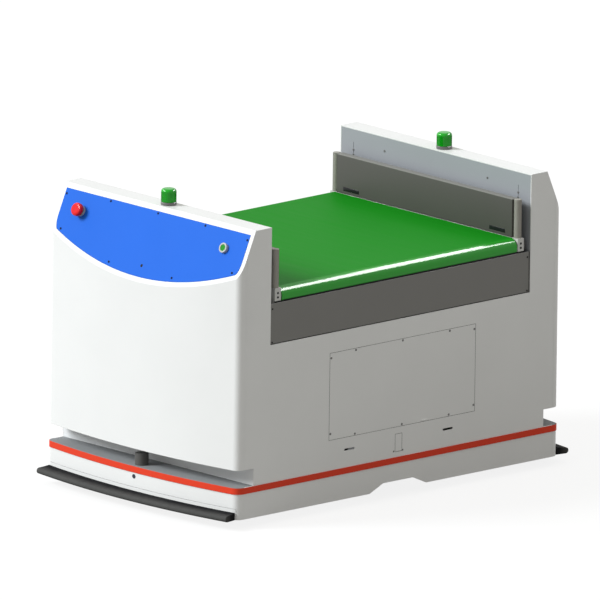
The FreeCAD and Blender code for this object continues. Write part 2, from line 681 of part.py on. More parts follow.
def start_button_bezel():
    """The button's body, closed at the back of the cover."""
    bore = BUTTON_CAP_DIAMETER / 2 + RUNNING_FIT
    profile = control_body(BUTTON_BEZEL_DIAMETER / 2, BUTTON_BEZEL_HEIGHT, bore)
    closed = [(0, profile[0][1])] + profile[1:]
    return turned_on_slope(closed + [(bore, -SHEET), (0, -SHEET)], CONTROL_X)


def start_button_cap():
    low = -SHEET + BUTTON_TRAVEL + BUTTON_STOP_GAP
    top = PANEL_FACE + BUTTON_BEZEL_HEIGHT - BUTTON_CAP_DROP
    return on_slope(CONTROL_X, CONTROL_DROP, BUTTON_CAP_DIAMETER / 2, low, top)


# ---------------------------------------------------------------- beacons and scanners
def beacon_seat():
    return Vector(0, -(BAY_HALF_LENGTH + SHOULDER_Y) / 2, TOWER_TOP)


def beacon_base():
    radius = BEACON_DIAMETER / 2 + BEACON_BASE_LIP
    stud = BEACON_STUD_DIAMETER / 2
    top = BEACON_BASE_HEIGHT
    profile = [(0, -BEACON_STUD_LENGTH), (stud, -BEACON_STUD_LENGTH), (stud, 0), (radius, 0),
               (radius, top - BEACON_BASE_CHAMFER), (radius - BEACON_BASE_CHAMFER, top), (0, top)]
    return revolve_profile(profile, beacon_seat())


def beacon_lens():
    radius = BEACON_DIAMETER / 2
    rim = rounded_rim(radius, BEACON_LENS_HEIGHT, BEACON_LENS_ROUND)
    profile = [(0, 0), (radius, 0)] + rim + [(0, BEACON_LENS_HEIGHT)]
    return revolve_profile(profile, beacon_seat() + Vector(0, 0, BEACON_BASE_HEIGHT))


def scanner_housing():
    """A closed round housing with the rotor's pin standing on its floor."""
    radius = SCANNER_DIAMETER / 2
    inner = radius - SCANNER_WALL
    pin = SCANNER_PIN_DIAMETER / 2
    lid = SCANNER_HEIGHT - SCANNER_WALL
    profile = [(0, 0), (radius, 0), (radius, SCANNER_HEIGHT), (0, SCANNER_HEIGHT), (0, lid), (inner, lid),
               (inner, SCANNER_WALL), (pin, SCANNER_WALL), (pin, lid - SCANNER_PIN_TOP_GAP),
               (0, lid - SCANNER_PIN_TOP_GAP)]
    return revolve_profile(profile, Vector(0, -SCANNER_Y, LEDGE_TOP))


def scanner_rotor():
    """Mirror drum on the pin, with one face cut slanting for the beam."""
    radius = SCANNER_ROTOR_DIAMETER / 2
    low = LEDGE_TOP + SCANNER_WALL + SEAM
    top = low + SCANNER_ROTOR_HEIGHT
    drum = along_z(radius, 0, -SCANNER_Y, (low, top))
    bore = along_z(SCANNER_PIN_DIAMETER / 2 + RUNNING_FIT, 0, -SCANNER_Y, (low - OVERCUT, top + OVERCUT))
    front = -SCANNER_Y - radius - OVERCUT
    wedge = [(front, (low + top) / 2), (-SCANNER_Y - SCANNER_PIN_DIAMETER, top + OVERCUT),
             (front, top + OVERCUT)]
    return drum.cut([bore, extrude_yz(wedge, (-SCANNER_DIAMETER, SCANNER_DIAMETER))])


# ---------------------------------------------------------------- bumpers
def bumper_carrier():
    """Bowed strip in the skirt's cut-out with two guide pins that run back into the bushes."""
    z_range = (GROUND_CLEARANCE, GROUND_CLEARANCE + BUMPER_CARRIER_HEIGHT)
    ring = plan_prism(0, 0, z_range).cut(plan_prism(SHEET, SHEET, z_range))
    strip = ring.common(box((-BUMPER_CARRIER_END, BUMPER_CARRIER_END), (-FAR, -SEAM_Y), z_range))
    start = -skirt_inner_y(BUMPER_PIN_X, -SHEET / 2)
    pin = along_y(BUMPER_PIN_DIAMETER / 2, BUMPER_PIN_X, (start, start + BUMPER_PIN_LENGTH), BUMPER_PIN_Z)
    return strip.multiFuse(both_sides(pin))


def bumper_rubber():
    """Tapering rubber nose, swept along the bow of the skirt."""
    back = END_RADIUS + BOND
    tip = back + BUMPER_OUT
    nose_z = GROUND_CLEARANCE + BUMPER_NOSE_RADIUS
    nose_centre = tip - BUMPER_NOSE_RADIUS
    shoulder = back + BUMPER_SHOULDER_OUT
    top = GROUND_CLEARANCE + BUMPER_HEIGHT
    lean = math.atan2(top - nose_z - BUMPER_NOSE_RADIUS, nose_centre - shoulder)
    meet = Vector(nose_centre + BUMPER_NOSE_RADIUS * math.sin(lean), 0,
                  nose_z + BUMPER_NOSE_RADIUS * math.cos(lean))
    bottom = Vector(nose_centre, 0, GROUND_CLEARANCE)
    rim = Part.Arc(bottom, Vector(tip, 0, nose_z), meet).toShape()
    corners = [meet, Vector(shoulder, 0, top - BUMPER_SHOULDER_DROP), Vector(back, 0, top),
               Vector(back, 0, GROUND_CLEARANCE), bottom]
    outline = Part.Wire([rim] + [Part.makeLine(a, b) for a, b in zip(corners, corners[1:])])
    half_angle = math.degrees(math.asin((HALF_WIDTH - BUMPER_END_INSET) / END_RADIUS))
    rubber = Part.Face(outline).revolve(Vector(0, 0, 0), Vector(0, 0, 1), 2 * half_angle)
    rubber.rotate(Vector(0, 0, 0), Vector(0, 0, 1), -90 - half_angle)
    rubber.translate(Vector(0, -END_CENTRE, 0))
    return rubber


# ---------------------------------------------------------------- casters
def caster_mount():
    """Top plate of one caster under its seat, with the kingpin's bore."""
    plate = box(around(CASTER_X, CASTER_TOP_PLATE), around(-CASTER_Y, CASTER_TOP_PLATE),
                (CASTER_PLATE_BOTTOM, CASTER_PLATE_BOTTOM + CASTER_PLATE_THICKNESS))
    bore_top = CASTER_PLATE_BOTTOM + CASTER_KINGPIN_LENGTH + CASTER_KINGPIN_GAP
    bore = along_z(CASTER_KINGPIN_RADIUS + RUNNING_FIT, CASTER_X, -CASTER_Y,
                   (CASTER_PLATE_BOTTOM - OVERCUT, bore_top))
    return plate.cut(bore)


def caster_fork():
    """Crown, two raked legs, kingpin and axle bolt of one caster."""
    crown_top = CASTER_PLATE_BOTTOM - SEAM
    crown_low = crown_top - CASTER_CROWN_HEIGHT
    leg_in = CASTER_WHEEL_WIDTH / 2 + CASTER_SIDE_GAP
    leg_out = leg_in + CASTER_LEG_THICKNESS
    crown = along_z(CASTER_CROWN_RADIUS, CASTER_X, -CASTER_Y, (crown_low, crown_top))
    boss = CASTER_BOSS_RADIUS
    cheek = [(-CASTER_Y - CASTER_LEG_SPREAD, crown_low), (-CASTER_Y + CASTER_LEG_SPREAD, crown_low),
             (CASTER_AXLE_Y + boss, CASTER_WHEEL_RADIUS), (CASTER_AXLE_Y, CASTER_WHEEL_RADIUS - boss),
             (CASTER_AXLE_Y - boss, CASTER_WHEEL_RADIUS)]
    legs = [extrude_yz(cheek, (CASTER_X + leg_in, CASTER_X + leg_out)),
            extrude_yz(cheek, (CASTER_X - leg_out, CASTER_X - leg_in))]
    kingpin = along_z(CASTER_KINGPIN_RADIUS, CASTER_X, -CASTER_Y,
                      (crown_low, CASTER_PLATE_BOTTOM + CASTER_KINGPIN_LENGTH))
    axle_reach = leg_out + CASTER_AXLE_HEAD
    axle = along_x(CASTER_AXLE_RADIUS, around(CASTER_X, 2 * axle_reach), CASTER_AXLE_Y, CASTER_WHEEL_RADIUS)
    return crown.multiFuse(legs + [kingpin, axle])


def caster_wheel():
    """Tread with bevelled edges, bored for the axle bolt."""
    half = CASTER_WHEEL_WIDTH / 2
    radius = CASTER_WHEEL_RADIUS
    bore = CASTER_AXLE_RADIUS + RUNNING_FIT
    flat = radius - CASTER_TYRE_CHAMFER
    profile = [(bore, -half), (flat, -half), (radius, -half + CASTER_TYRE_CHAMFER),
               (radius, half - CASTER_TYRE_CHAMFER), (flat, half), (bore, half)]
    return wheel_from(profile, Vector(CASTER_X, CASTER_AXLE_Y, CASTER_WHEEL_RADIUS))


def wheel_from(profile, centre):
    """Turns a (radius, sideways) profile about the wheel's axle, which lies along X."""
    wheel = revolve_profile(profile, Vector(0, 0, 0))
    wheel.rotate(Vector(0, 0, 0), Vector(0, 1, 0), 90)
    wheel.translate(centre)
    return wheel


# ---------------------------------------------------------------- drive wheels
def drive_wheel_centre():
    return Vector(DRIVE_WHEEL_X, 0, DRIVE_WHEEL_RADIUS)


def drive_tyre():
    half = DRIVE_WHEEL_WIDTH / 2
    inner = DRIVE_WHEEL_RADIUS - DRIVE_TYRE_THICKNESS
    flat = DRIVE_WHEEL_RADIUS - DRIVE_TYRE_CHAMFER
    profile = [(inner, -half), (flat, -half), (DRIVE_WHEEL_RADIUS, -half + DRIVE_TYRE_CHAMFER),
               (DRIVE_WHEEL_RADIUS, half - DRIVE_TYRE_CHAMFER), (flat, half), (inner, half)]
    return wheel_from(profile, drive_wheel_centre())


def drive_hub():
    """Dished wheel centre and the shaft that runs into the gearbox, as one turned profile."""
    half = DRIVE_WHEEL_WIDTH / 2
    rim = DRIVE_WHEEL_RADIUS - DRIVE_TYRE_THICKNESS - BOND
    dish = rim - DRIVE_RIM_WALL
    web = half - DRIVE_DISH_DEPTH
    shaft_end = DRIVE_BRACKET_INNER_X - DRIVE_SHAFT_DEPTH - DRIVE_WHEEL_X
    profile = [(0, shaft_end), (DRIVE_SHAFT_RADIUS, shaft_end), (DRIVE_SHAFT_RADIUS, -half), (rim, -half),
               (rim, half), (dish, half), (dish, web), (DRIVE_BOSS_RADIUS, web),
               (DRIVE_BOSS_RADIUS, half), (0, half)]
    return wheel_from(profile, drive_wheel_centre())


def drive_bracket():
    """Hanger plate between the two middle cross-members, with the gearbox bore."""
    inner_y = CROSS_DRIVE_Y - TUBE / 2
    low = DRIVE_WHEEL_RADIUS - GEARBOX_SIDE / 2
    lobe = DRIVE_BRACKET_WIDTH / 2
    profile = [(-inner_y, TUBE_BOTTOM), (-lobe, low), (lobe, low), (inner_y, TUBE_BOTTOM),
               (inner_y, LEDGE_BOTTOM), (-inner_y, LEDGE_BOTTOM)]
    plate = extrude_yz(profile, (DRIVE_BRACKET_INNER_X, DRIVE_BRACKET_OUTER_X))
    bore_x = (DRIVE_BRACKET_INNER_X - OVERCUT, DRIVE_BRACKET_OUTER_X + OVERCUT)
    return plate.cut(along_x(GEARBOX_NOSE_RADIUS + BOND, bore_x, 0, DRIVE_WHEEL_RADIUS))


def drive_gearmotor():
    """Gearbox on the hanger plate, its nose in the plate's bore, and the motor behind."""
    axis_z = DRIVE_WHEEL_RADIUS
    face = DRIVE_BRACKET_INNER_X
    back = face - GEARBOX_LENGTH
    gearbox = box((back, face), around(0, GEARBOX_SIDE), around(axis_z, GEARBOX_SIDE))
    nose = along_x(GEARBOX_NOSE_RADIUS, (face, DRIVE_BRACKET_OUTER_X), 0, axis_z)
    motor = along_x(DRIVE_MOTOR_RADIUS, (DRIVE_MOTOR_END_X, back), 0, axis_z)
    bore_x = (face - DRIVE_SHAFT_DEPTH - OVERCUT, DRIVE_BRACKET_OUTER_X + OVERCUT)
    bore = along_x(DRIVE_SHAFT_RADIUS + RUNNING_FIT, bore_x, 0, axis_z)
    return gearbox.multiFuse([nose, motor]).cut(bore)


# ---------------------------------------------------------------- inside equipment and upper frame
def equipment_tray():
    inside = INNER_X - TRAY_GAP
    y_range = (-RECESS_WALL_Y + SHEET + SEAM, -TRAY_INNER_Y)
    return box((-inside, inside), y_range, (LEDGE_BOTTOM, LEDGE_TOP))


def battery_pack():
    low = TRAY_INNER_Y + EQUIPMENT_GAP
    z_range = (LEDGE_TOP, LEDGE_TOP + BATTERY_HEIGHT)
    return box(around(0, BATTERY_WIDTH), (low, low + BATTERY_LENGTH), z_range)


def control_cabinet():
    high = -TRAY_INNER_Y - EQUIPMENT_GAP
    z_range = (LEDGE_TOP, LEDGE_TOP + CABINET_HEIGHT)
    return box(around(0, CABINET_WIDTH), (high - CABINET_LENGTH, high), z_range)


def upper_frame():
    """Four posts on the trays and two deck beams between them."""
    post = hollow_tube(around(POST_X, POST), around(-POST_Y, POST), (LEDGE_TOP, TOWER_TOP - SHEET),
                       (TUBE_WALL, TUBE_WALL, 0))
    reach = BAY_HALF_LENGTH + SHEET
    beam = hollow_tube(around(DECK_BEAM_X, DECK_BEAM_WIDTH), (-reach, reach),
                       (DECK_BEAM_TOP - DECK_BEAM_HEIGHT, DECK_BEAM_TOP), (TUBE_WALL, 0, TUBE_WALL))
    return four_corners(post) + both_sides(beam)


# ---------------------------------------------------------------- conveyor
def side_frame_y():
    return -SIDE_FRAME_OUTER_Y, -SIDE_FRAME_INNER_Y


def side_frame():
    """Stepped side member: low and long under the bearing blocks, high between them."""
    low_half = HALF_WIDTH - SIDE_FRAME_END_INSET
    high_half = BLOCK_END_X - BLOCK_LENGTH
    low_bar = box((-low_half, low_half), side_frame_y(), (DECK_BEAM_TOP, BLOCK_BOTTOM))
    high_bar = box((-high_half, high_half), side_frame_y(), (BLOCK_BOTTOM, SIDE_FRAME_TOP))
    groove_z = BLOCK_BOTTOM + GROOVE_RISE
    groove = box((-FAR, FAR), (-SIDE_FRAME_OUTER_Y, -SIDE_FRAME_OUTER_Y + GROOVE_DEPTH),
                 (groove_z, groove_z + GROOVE_HEIGHT))
    return low_bar.fuse(high_bar).removeSplitter().cut(groove)


def side_frames():
    """The two side members, the rear one with a hole for the motor's shaft."""
    front = side_frame()
    hole = on_motor_axis(CONVEYOR_SHAFT_HOLE, (0, SIDE_FRAME_OUTER_Y + OVERCUT))
    return [front, mirror_y(front).cut(hole)]


def on_motor_axis(radius, y_range):
    return along_y(radius, CONVEYOR_MOTOR_X, y_range, CONVEYOR_MOTOR_Z)


def bearing_block():
    block = box((BLOCK_END_X - BLOCK_LENGTH, BLOCK_END_X), side_frame_y(), (BLOCK_BOTTOM, SIDE_FRAME_TOP))
    bore_y = (-SIDE_FRAME_OUTER_Y - OVERCUT, -SIDE_FRAME_INNER_Y + OVERCUT)
    return block.cut(along_y(ROLLER_SHAFT_RADIUS + RUNNING_FIT, ROLLER_X, bore_y, ROLLER_Z))


def sensor_pocket(margin):
    """A belt sensor's room in the guard's inner wall, drawn in by margin."""
    y_range = (-SIDE_FRAME_INNER_Y - SENSOR_DEPTH + margin, -SIDE_FRAME_INNER_Y - margin)
    z_range = (SENSOR_BOTTOM + margin, SENSOR_BOTTOM + SENSOR_HEIGHT - margin)
    return box(around(SENSOR_X, SENSOR_LENGTH - 2 * margin), y_range, z_range)


def load_guard():
    """Closed box rail above the side frame with a sensor pocket near each end."""
    half = HALF_WIDTH - GUARD_END_INSET
    guard = box((-half, half), side_frame_y(), (SIDE_FRAME_TOP, GUARD_TOP))
    cheeks = half - GUARD_END_WALL
    hollow_y = (-SIDE_FRAME_OUTER_Y + GUARD_WALL, -SIDE_FRAME_INNER_Y - GUARD_INNER_WALL)
    hollow = box((-cheeks, cheeks), hollow_y, (SIDE_FRAME_TOP, GUARD_TOP - GUARD_WALL))
    return guard.cut([hollow] + both_sides(sensor_pocket(0)))


def belt_sensor():
    return sensor_pocket(SEAM)


def tangent_prism(centres, radii, y_range):
    """The taut outline around two circles, run along Y."""
    (x1, z1), (x2, z2) = centres
    r1, r2 = radii
    heading = math.atan2(z2 - z1, x2 - x1)
    tilt = math.acos((r1 - r2) / math.hypot(x2 - x1, z2 - z1))

    def at(x, z, r, angle):
        return Vector(x + r * math.cos(angle), y_range[0], z + r * math.sin(angle))

    top1, low1 = at(x1, z1, r1, heading + tilt), at(x1, z1, r1, heading - tilt)
    top2, low2 = at(x2, z2, r2, heading + tilt), at(x2, z2, r2, heading - tilt)
    far1, far2 = at(x1, z1, r1, heading + math.pi), at(x2, z2, r2, heading)
    edges = [Part.Arc(top1, far1, low1).toShape(), Part.makeLine(low1, low2),
             Part.Arc(low2, far2, top2).toShape(), Part.makeLine(top2, top1)]
    return Part.Face(Part.Wire(edges)).extrude(Vector(0, y_range[1] - y_range[0], 0))


def belt_loop(centres, radii, thickness, y_range):
    """A belt round two pulleys, as the skin between two taut outlines."""
    outer = tangent_prism(centres, [r + thickness for r in radii], y_range)
    return outer.cut(tangent_prism(centres, radii, y_range))


def conveyor_belt():
    centres = [(-ROLLER_X, ROLLER_Z), (ROLLER_X, ROLLER_Z)]
    radius = ROLLER_RADIUS + BELT_CLEARANCE
    return belt_loop(centres, [radius, radius], BELT_THICKNESS, (-BELT_HALF_WIDTH, BELT_HALF_WIDTH))


def slider_bed():
    """Folded pan under the top run: flat plate with a flange down at each end and side."""
    top = BELT_TOP - BELT_THICKNESS - BELT_CLEARANCE
    low = top - ROLLER_RADIUS
    half = ROLLER_X - ROLLER_RADIUS - SLIDER_BED_SHEET
    inner_half = half - SLIDER_BED_SHEET
    inner_y = SIDE_FRAME_INNER_Y - SLIDER_BED_SHEET
    pan = box((-half, half), (-SIDE_FRAME_INNER_Y, SIDE_FRAME_INNER_Y), (low, top))
    inside = box((-inner_half, inner_half), (-inner_y, inner_y), (low - OVERCUT, top - SLIDER_BED_SHEET))
    return pan.cut(inside)


def roller(x, shaft_end):
    body = along_y(ROLLER_RADIUS, x, (-BELT_HALF_WIDTH, BELT_HALF_WIDTH), ROLLER_Z)
    return body.fuse(along_y(ROLLER_SHAFT_RADIUS, x, (-SIDE_FRAME_OUTER_Y, shaft_end), ROLLER_Z))


def drive_roller():
    pulley = along_y(ROLLER_PULLEY_RADIUS, ROLLER_X, (PULLEY_LOW, PULLEY_HIGH), ROLLER_Z)
    return roller(ROLLER_X, PULLEY_HIGH).fuse(pulley)


def tail_roller():
    return roller(-ROLLER_X, SIDE_FRAME_OUTER_Y)


def conveyor_gearmotor():
    """Motor on the inner face of the rear side member, bored for its shaft."""
    face = SIDE_FRAME_INNER_Y
    motor = on_motor_axis(CONVEYOR_MOTOR_RADIUS, (face - CONVEYOR_MOTOR_LENGTH, face))
    bore_y = (face - CONVEYOR_SHAFT_DEPTH - CONVEYOR_SHAFT_END_GAP, face + OVERCUT)
    return motor.cut(on_motor_axis(CONVEYOR_SHAFT_RADIUS + RUNNING_FIT, bore_y))


def motor_pulley():
    shaft = on_motor_axis(CONVEYOR_SHAFT_RADIUS, (SIDE_FRAME_INNER_Y - CONVEYOR_SHAFT_DEPTH, PULLEY_HIGH))
    return shaft.fuse(on_motor_axis(MOTOR_PULLEY_RADIUS, (PULLEY_LOW, PULLEY_HIGH)))


def timing_belt():
    centres = [(CONVEYOR_MOTOR_X, CONVEYOR_MOTOR_Z), (ROLLER_X, ROLLER_Z)]
    radii = [MOTOR_PULLEY_RADIUS + BELT_CLEARANCE, ROLLER_PULLEY_RADIUS + BELT_CLEARANCE]
    y_range = (PULLEY_LOW + TIMING_BELT_MARGIN, PULLEY_HIGH - TIMING_BELT_MARGIN)
    return belt_loop(centres, radii, TIMING_BELT_THICKNESS, y_range)


# ---------------------------------------------------------------- write the nodes
def write_base():
    save("chassis_frame", chassis_frame())
    save("end_skirts", [end_skirt().cut(skirt_eye_hole()), mirror_y(end_skirt())])
    save("side_skirts", both_sides(side_skirt()))
    save("red_trim_band", red_trim_band())
    save("end_ledges", both_ends(end_ledge()))
    save("recess_walls", both_ends(recess_wall()))
    save("equipment_trays", both_ends(equipment_tray()))
    save("battery_pack", battery_pack())
    save("control_cabinet", control_cabinet())
    save("upper_frame", upper_frame())


def write_covers():
    save("front_cover", front_cover())
    save("rear_cover", mirror_y(end_cover()))
    save("side_panels", both_sides(side_panel()))
    save("access_doors", both_sides(access_door()))
    save("service_plates", both_sides(service_plate()))
    save("tower_walls", both_ends(tower_wall()))
    save("bay_fascias", both_sides(bay_fascia()))


def write_controls():
    save("console_panel", console_panel())
    save("sensor_windows", sensor_windows())
    save("estop_base", estop_base())
    save("estop_stem", estop_stem())
    save("estop_head", estop_head())
    save("start_button_bezel", start_button_bezel())
    save("start_button_cap", start_button_cap())
    save("beacon_bases", both_ends(beacon_base()))
    save("beacon_lenses", both_ends(beacon_lens()))


def write_ends():
    save("scanner_housings", both_ends(scanner_housing()))
    for name, place in (("front", lambda shape: shape), ("rear", mirror_y)):
        save(name + "_scanner_rotor", place(scanner_rotor()))
        save(name + "_bumper_carrier", place(bumper_carrier()))
        save(name + "_bumper_rubber", place(bumper_rubber()))


def write_running_gear():
    save("drive_brackets", both_sides(drive_bracket()))
    save("drive_gearmotors", both_sides(drive_gearmotor()))
    for name, place in (("left", lambda shape: shape), ("right", mirror_x)):
        save(name + "_drive_hub", place(drive_hub()))
        save(name + "_drive_tyre", place(drive_tyre()))
    save("caster_mounts", four_corners(caster_mount()))
    to_rear = Vector(0, 2 * CASTER_Y, 0)
    for name in ("front_left", "front_right", "rear_left", "rear_right"):
        for piece, make in (("_caster_fork", caster_fork), ("_caster_wheel", caster_wheel)):
            shape = make()
            if name.startswith("rear"):
                shape.translate(to_rear)
            if name.endswith("right"):
                shape = mirror_x(shape)
            save(name + piece, shape)


def write_conveyor():
    save("conveyor_side_frames", side_frames())
    save("load_guards", both_ends(load_guard()))
    save("bearing_blocks", four_corners(bearing_block()))
    save("belt_sensors", four_corners(belt_sensor()))
    save("conveyor_belt", conveyor_belt())
    save("slider_bed", slider_bed())
    save("drive_roller", drive_roller())
    save("tail_roller", tail_roller())
    save("conveyor_gearmotor", conveyor_gearmotor())
    save("motor_pulley", motor_pulley())
    save("timing_belt", timing_belt())


os.makedirs("parts", exist_ok=True)
write_base()
write_covers()
write_controls()
write_ends()
write_running_gear()
write_conveyor()
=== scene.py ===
import bpy
from math import cos, pi, radians, sin, sqrt
from mathutils import Matrix, Vector


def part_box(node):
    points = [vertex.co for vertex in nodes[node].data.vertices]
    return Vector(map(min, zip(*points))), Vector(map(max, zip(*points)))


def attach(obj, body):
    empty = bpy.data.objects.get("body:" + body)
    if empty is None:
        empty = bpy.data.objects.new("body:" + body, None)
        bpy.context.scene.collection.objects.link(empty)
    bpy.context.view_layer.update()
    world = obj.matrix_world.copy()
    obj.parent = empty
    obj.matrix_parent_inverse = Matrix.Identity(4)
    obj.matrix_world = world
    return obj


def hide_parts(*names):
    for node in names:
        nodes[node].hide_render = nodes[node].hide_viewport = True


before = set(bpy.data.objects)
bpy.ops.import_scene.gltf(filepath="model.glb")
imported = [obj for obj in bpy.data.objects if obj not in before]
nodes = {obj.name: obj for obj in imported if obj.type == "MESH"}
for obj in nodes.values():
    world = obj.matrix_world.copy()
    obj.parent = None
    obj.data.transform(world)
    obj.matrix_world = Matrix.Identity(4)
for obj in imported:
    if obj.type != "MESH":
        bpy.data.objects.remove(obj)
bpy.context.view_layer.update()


# ---------------------------------------------------------------- chassis
# Welded steel box tube with folded trays on top, all powder coated dark grey.
# The battery and the control cabinet stand on the trays and are closed steel
# boxes; none of it shows once the covers are on.

def group(name, inputs, outputs):
    """An empty shader node group with its sockets: its tree, what comes in and what goes out."""
    tree = bpy.data.node_groups.new(name, "ShaderNodeTree")
    for label, value in inputs.items():
        kind = "NodeSocketColor" if isinstance(value, tuple) else "NodeSocketFloat"
        made = tree.interface.new_socket(name=label, in_out="INPUT", socket_type=kind)
        made.default_value = value
    for label, kind in outputs.items():
        tree.interface.new_socket(name=label, in_out="OUTPUT", socket_type=kind)
    return tree, tree.nodes.new("NodeGroupInput").outputs, tree.nodes.new("NodeGroupOutput").inputs


def feed(tree, entry, value):
    """Links a socket to an input, or writes a plain number or colour on it."""
    if isinstance(value, bpy.types.NodeSocket):
        tree.links.new(value, entry)
    else:
        entry.default_value = value


def object_place(tree):
    return tree.nodes.new("ShaderNodeTexCoord").outputs["Object"]


def noise(tree, place, scale, detail):
    """Soft random patches; the scale says how many lie in a metre."""
    node = tree.nodes.new("ShaderNodeTexNoise")
    node.inputs["Scale"].default_value = scale
    node.inputs["Detail"].default_value = detail
    tree.links.new(place, node.inputs["Vector"])
    return node.outputs["Fac"]


def carried(tree, value, start, stop, low=0.0, high=1.0):
    """Carries the stretch from start to stop over to low and high, and holds it past them."""
    node = tree.nodes.new("ShaderNodeMapRange")
    node.inputs["From Min"].default_value = start
    node.inputs["From Max"].default_value = stop
    node.inputs["To Min"].default_value = low
    node.inputs["To Max"].default_value = high
    tree.links.new(value, node.inputs["Value"])
    return node.outputs["Result"]


def reckoned(tree, operation, *values):
    """One step of arithmetic on sockets and plain numbers."""
    node = tree.nodes.new("ShaderNodeMath")
    node.operation = operation
    for entry, value in zip(node.inputs, values):
        feed(tree, entry, value)
    return node.outputs["Value"]


def mixed(tree, amount, first, second, blend="MIX"):
    """Two colours mixed by an amount from 0 to 1."""
    node = tree.nodes.new("ShaderNodeMix")
    node.data_type, node.blend_type = "RGBA", blend
    feed(tree, node.inputs["Factor"], amount)
    feed(tree, node.inputs["A"], first)
    feed(tree, node.inputs["B"], second)
    return node.outputs["Result"]


def soft_edges(tree, radius):
    """Normals that round every sharp edge by a radius."""
    node = tree.nodes.new("ShaderNodeBevel")
    node.samples = 4
    node.inputs["Radius"].default_value = radius
    return node.outputs["Normal"]


def relief(tree, height, strength, depth):
    """A fine relief from a height, as a Bump node."""
    node = tree.nodes.new("ShaderNodeBump")
    node.inputs["Strength"].default_value = strength
    node.inputs["Distance"].default_value = depth
    tree.links.new(height, node.inputs["Height"])
    return node


def paint_group():
    """Even powder coat: faint cloudiness, orange peel, and edges rubbed by handling."""
    tree, entry, leaving = group(
        "Powder Coat Texture",
        {"Colour": (0.8, 0.8, 0.8, 1), "Worn Colour": (0.9, 0.9, 0.9, 1), "Roughness": 0.4, "Wear": 0.3},
        {"Colour": "NodeSocketColor", "Roughness": "NodeSocketFloat", "Normal": "NodeSocketVector"})
    place = object_place(tree)
    rounded = soft_edges(tree, radius=0.0012)

    clouds = carried(tree, noise(tree, place, scale=5.0, detail=5.0), 0.3, 0.7, low=0.972, high=1.0)
    shaded = mixed(tree, 1.0, entry["Colour"], clouds, "MULTIPLY")
    turn = tree.nodes.new("ShaderNodeVectorMath")
    turn.operation = "DOT_PRODUCT"
    tree.links.new(rounded, turn.inputs[0])
    tree.links.new(tree.nodes.new("ShaderNodeNewGeometry").outputs["Normal"], turn.inputs[1])
    edge = carried(tree, turn.outputs["Value"], start=0.995, stop=0.80)
    broken = carried(tree, noise(tree, place, scale=38.0, detail=6.0), start=0.42, stop=0.62)
    rubbed = reckoned(tree, "MULTIPLY", reckoned(tree, "MULTIPLY", edge, broken), entry["Wear"])
    tree.links.new(mixed(tree, rubbed, shaded, entry["Worn Colour"]), leaving["Colour"])

    smears = carried(tree, noise(tree, place, scale=14.0, detail=7.0), 0.0, 1.0, low=-0.07, high=0.07)
    tree.links.new(reckoned(tree, "ADD", entry["Roughness"], smears), leaving["Roughness"])
    peel = relief(tree, noise(tree, place, scale=420.0, detail=2.0), strength=0.05, depth=0.0004)
    tree.links.new(rounded, peel.inputs["Normal"])
    tree.links.new(peel.outputs["Normal"], leaving["Normal"])
    return tree


def surface(name, texture, finish, plain):
    """A material: a group's textured values, and constants on the shader's own sockets."""
    material = bpy.data.materials.new(name)
    material.use_nodes = True
    tree = material.node_tree
    shader = tree.nodes["Principled BSDF"]
    skin = tree.nodes.new("ShaderNodeGroup")
    skin.name = "Skin"
    skin.node_tree = texture
    for label, value in finish.items():
        skin.inputs[label].default_value = value
    for label, value in plain.items():
        shader.inputs[label].default_value = value
    for output, entry in (("Colour", "Base Color"), ("Roughness", "Roughness"),
                          ("Shine", "Coat Weight"), ("Normal", "Normal")):
        if output in skin.outputs:
            tree.links.new(skin.outputs[output], shader.inputs[entry])
    return material


powder_coat_texture = paint_group()


def painted(name, colour, worn, roughness, wear, metallic=0.0, coat=0.0, specular=0.5):
    """A painted, moulded or plated surface."""
    return surface(
        name, powder_coat_texture,
        {"Colour": (*colour, 1), "Worn Colour": (*worn, 1), "Roughness": roughness, "Wear": wear},
        {"Metallic": metallic, "Coat Weight": coat, "Coat Roughness": 0.06, "Specular IOR Level": specular})


def dress(material, slot, *names):
    """Gives CAD nodes their finish. The slot argument is not used."""
    for name in names:
        piece = nodes[name]
        piece.data.materials.clear()
        piece.data.materials.append(material)


tube_steel = painted("Tube Steel", (0.055, 0.058, 0.062), (0.22, 0.22, 0.23), roughness=0.45, wear=0.4)
zinc_steel = painted("Zinc Plated Steel", (0.50, 0.50, 0.49), (0.66, 0.66, 0.65),
                     roughness=0.36, wear=0.4, metallic=0.85)
equipment_grey = painted("Equipment Grey", (0.20, 0.21, 0.22), (0.42, 0.42, 0.42), roughness=0.5, wear=0.3)
dress(tube_steel, "tube_steel", "chassis_frame", "upper_frame", "drive_brackets")
dress(zinc_steel, "zinc_steel", "equipment_trays")
dress(equipment_grey, "equipment_grey", "battery_pack", "control_cabinet")


# ---------------------------------------------------------------- drive wheels
# Two geared motors hang under brackets and turn cast aluminium hubs with
# polyurethane tyres bonded on. The tyres have a fine moulded grain, and five
# screws hold each hub to its motor.

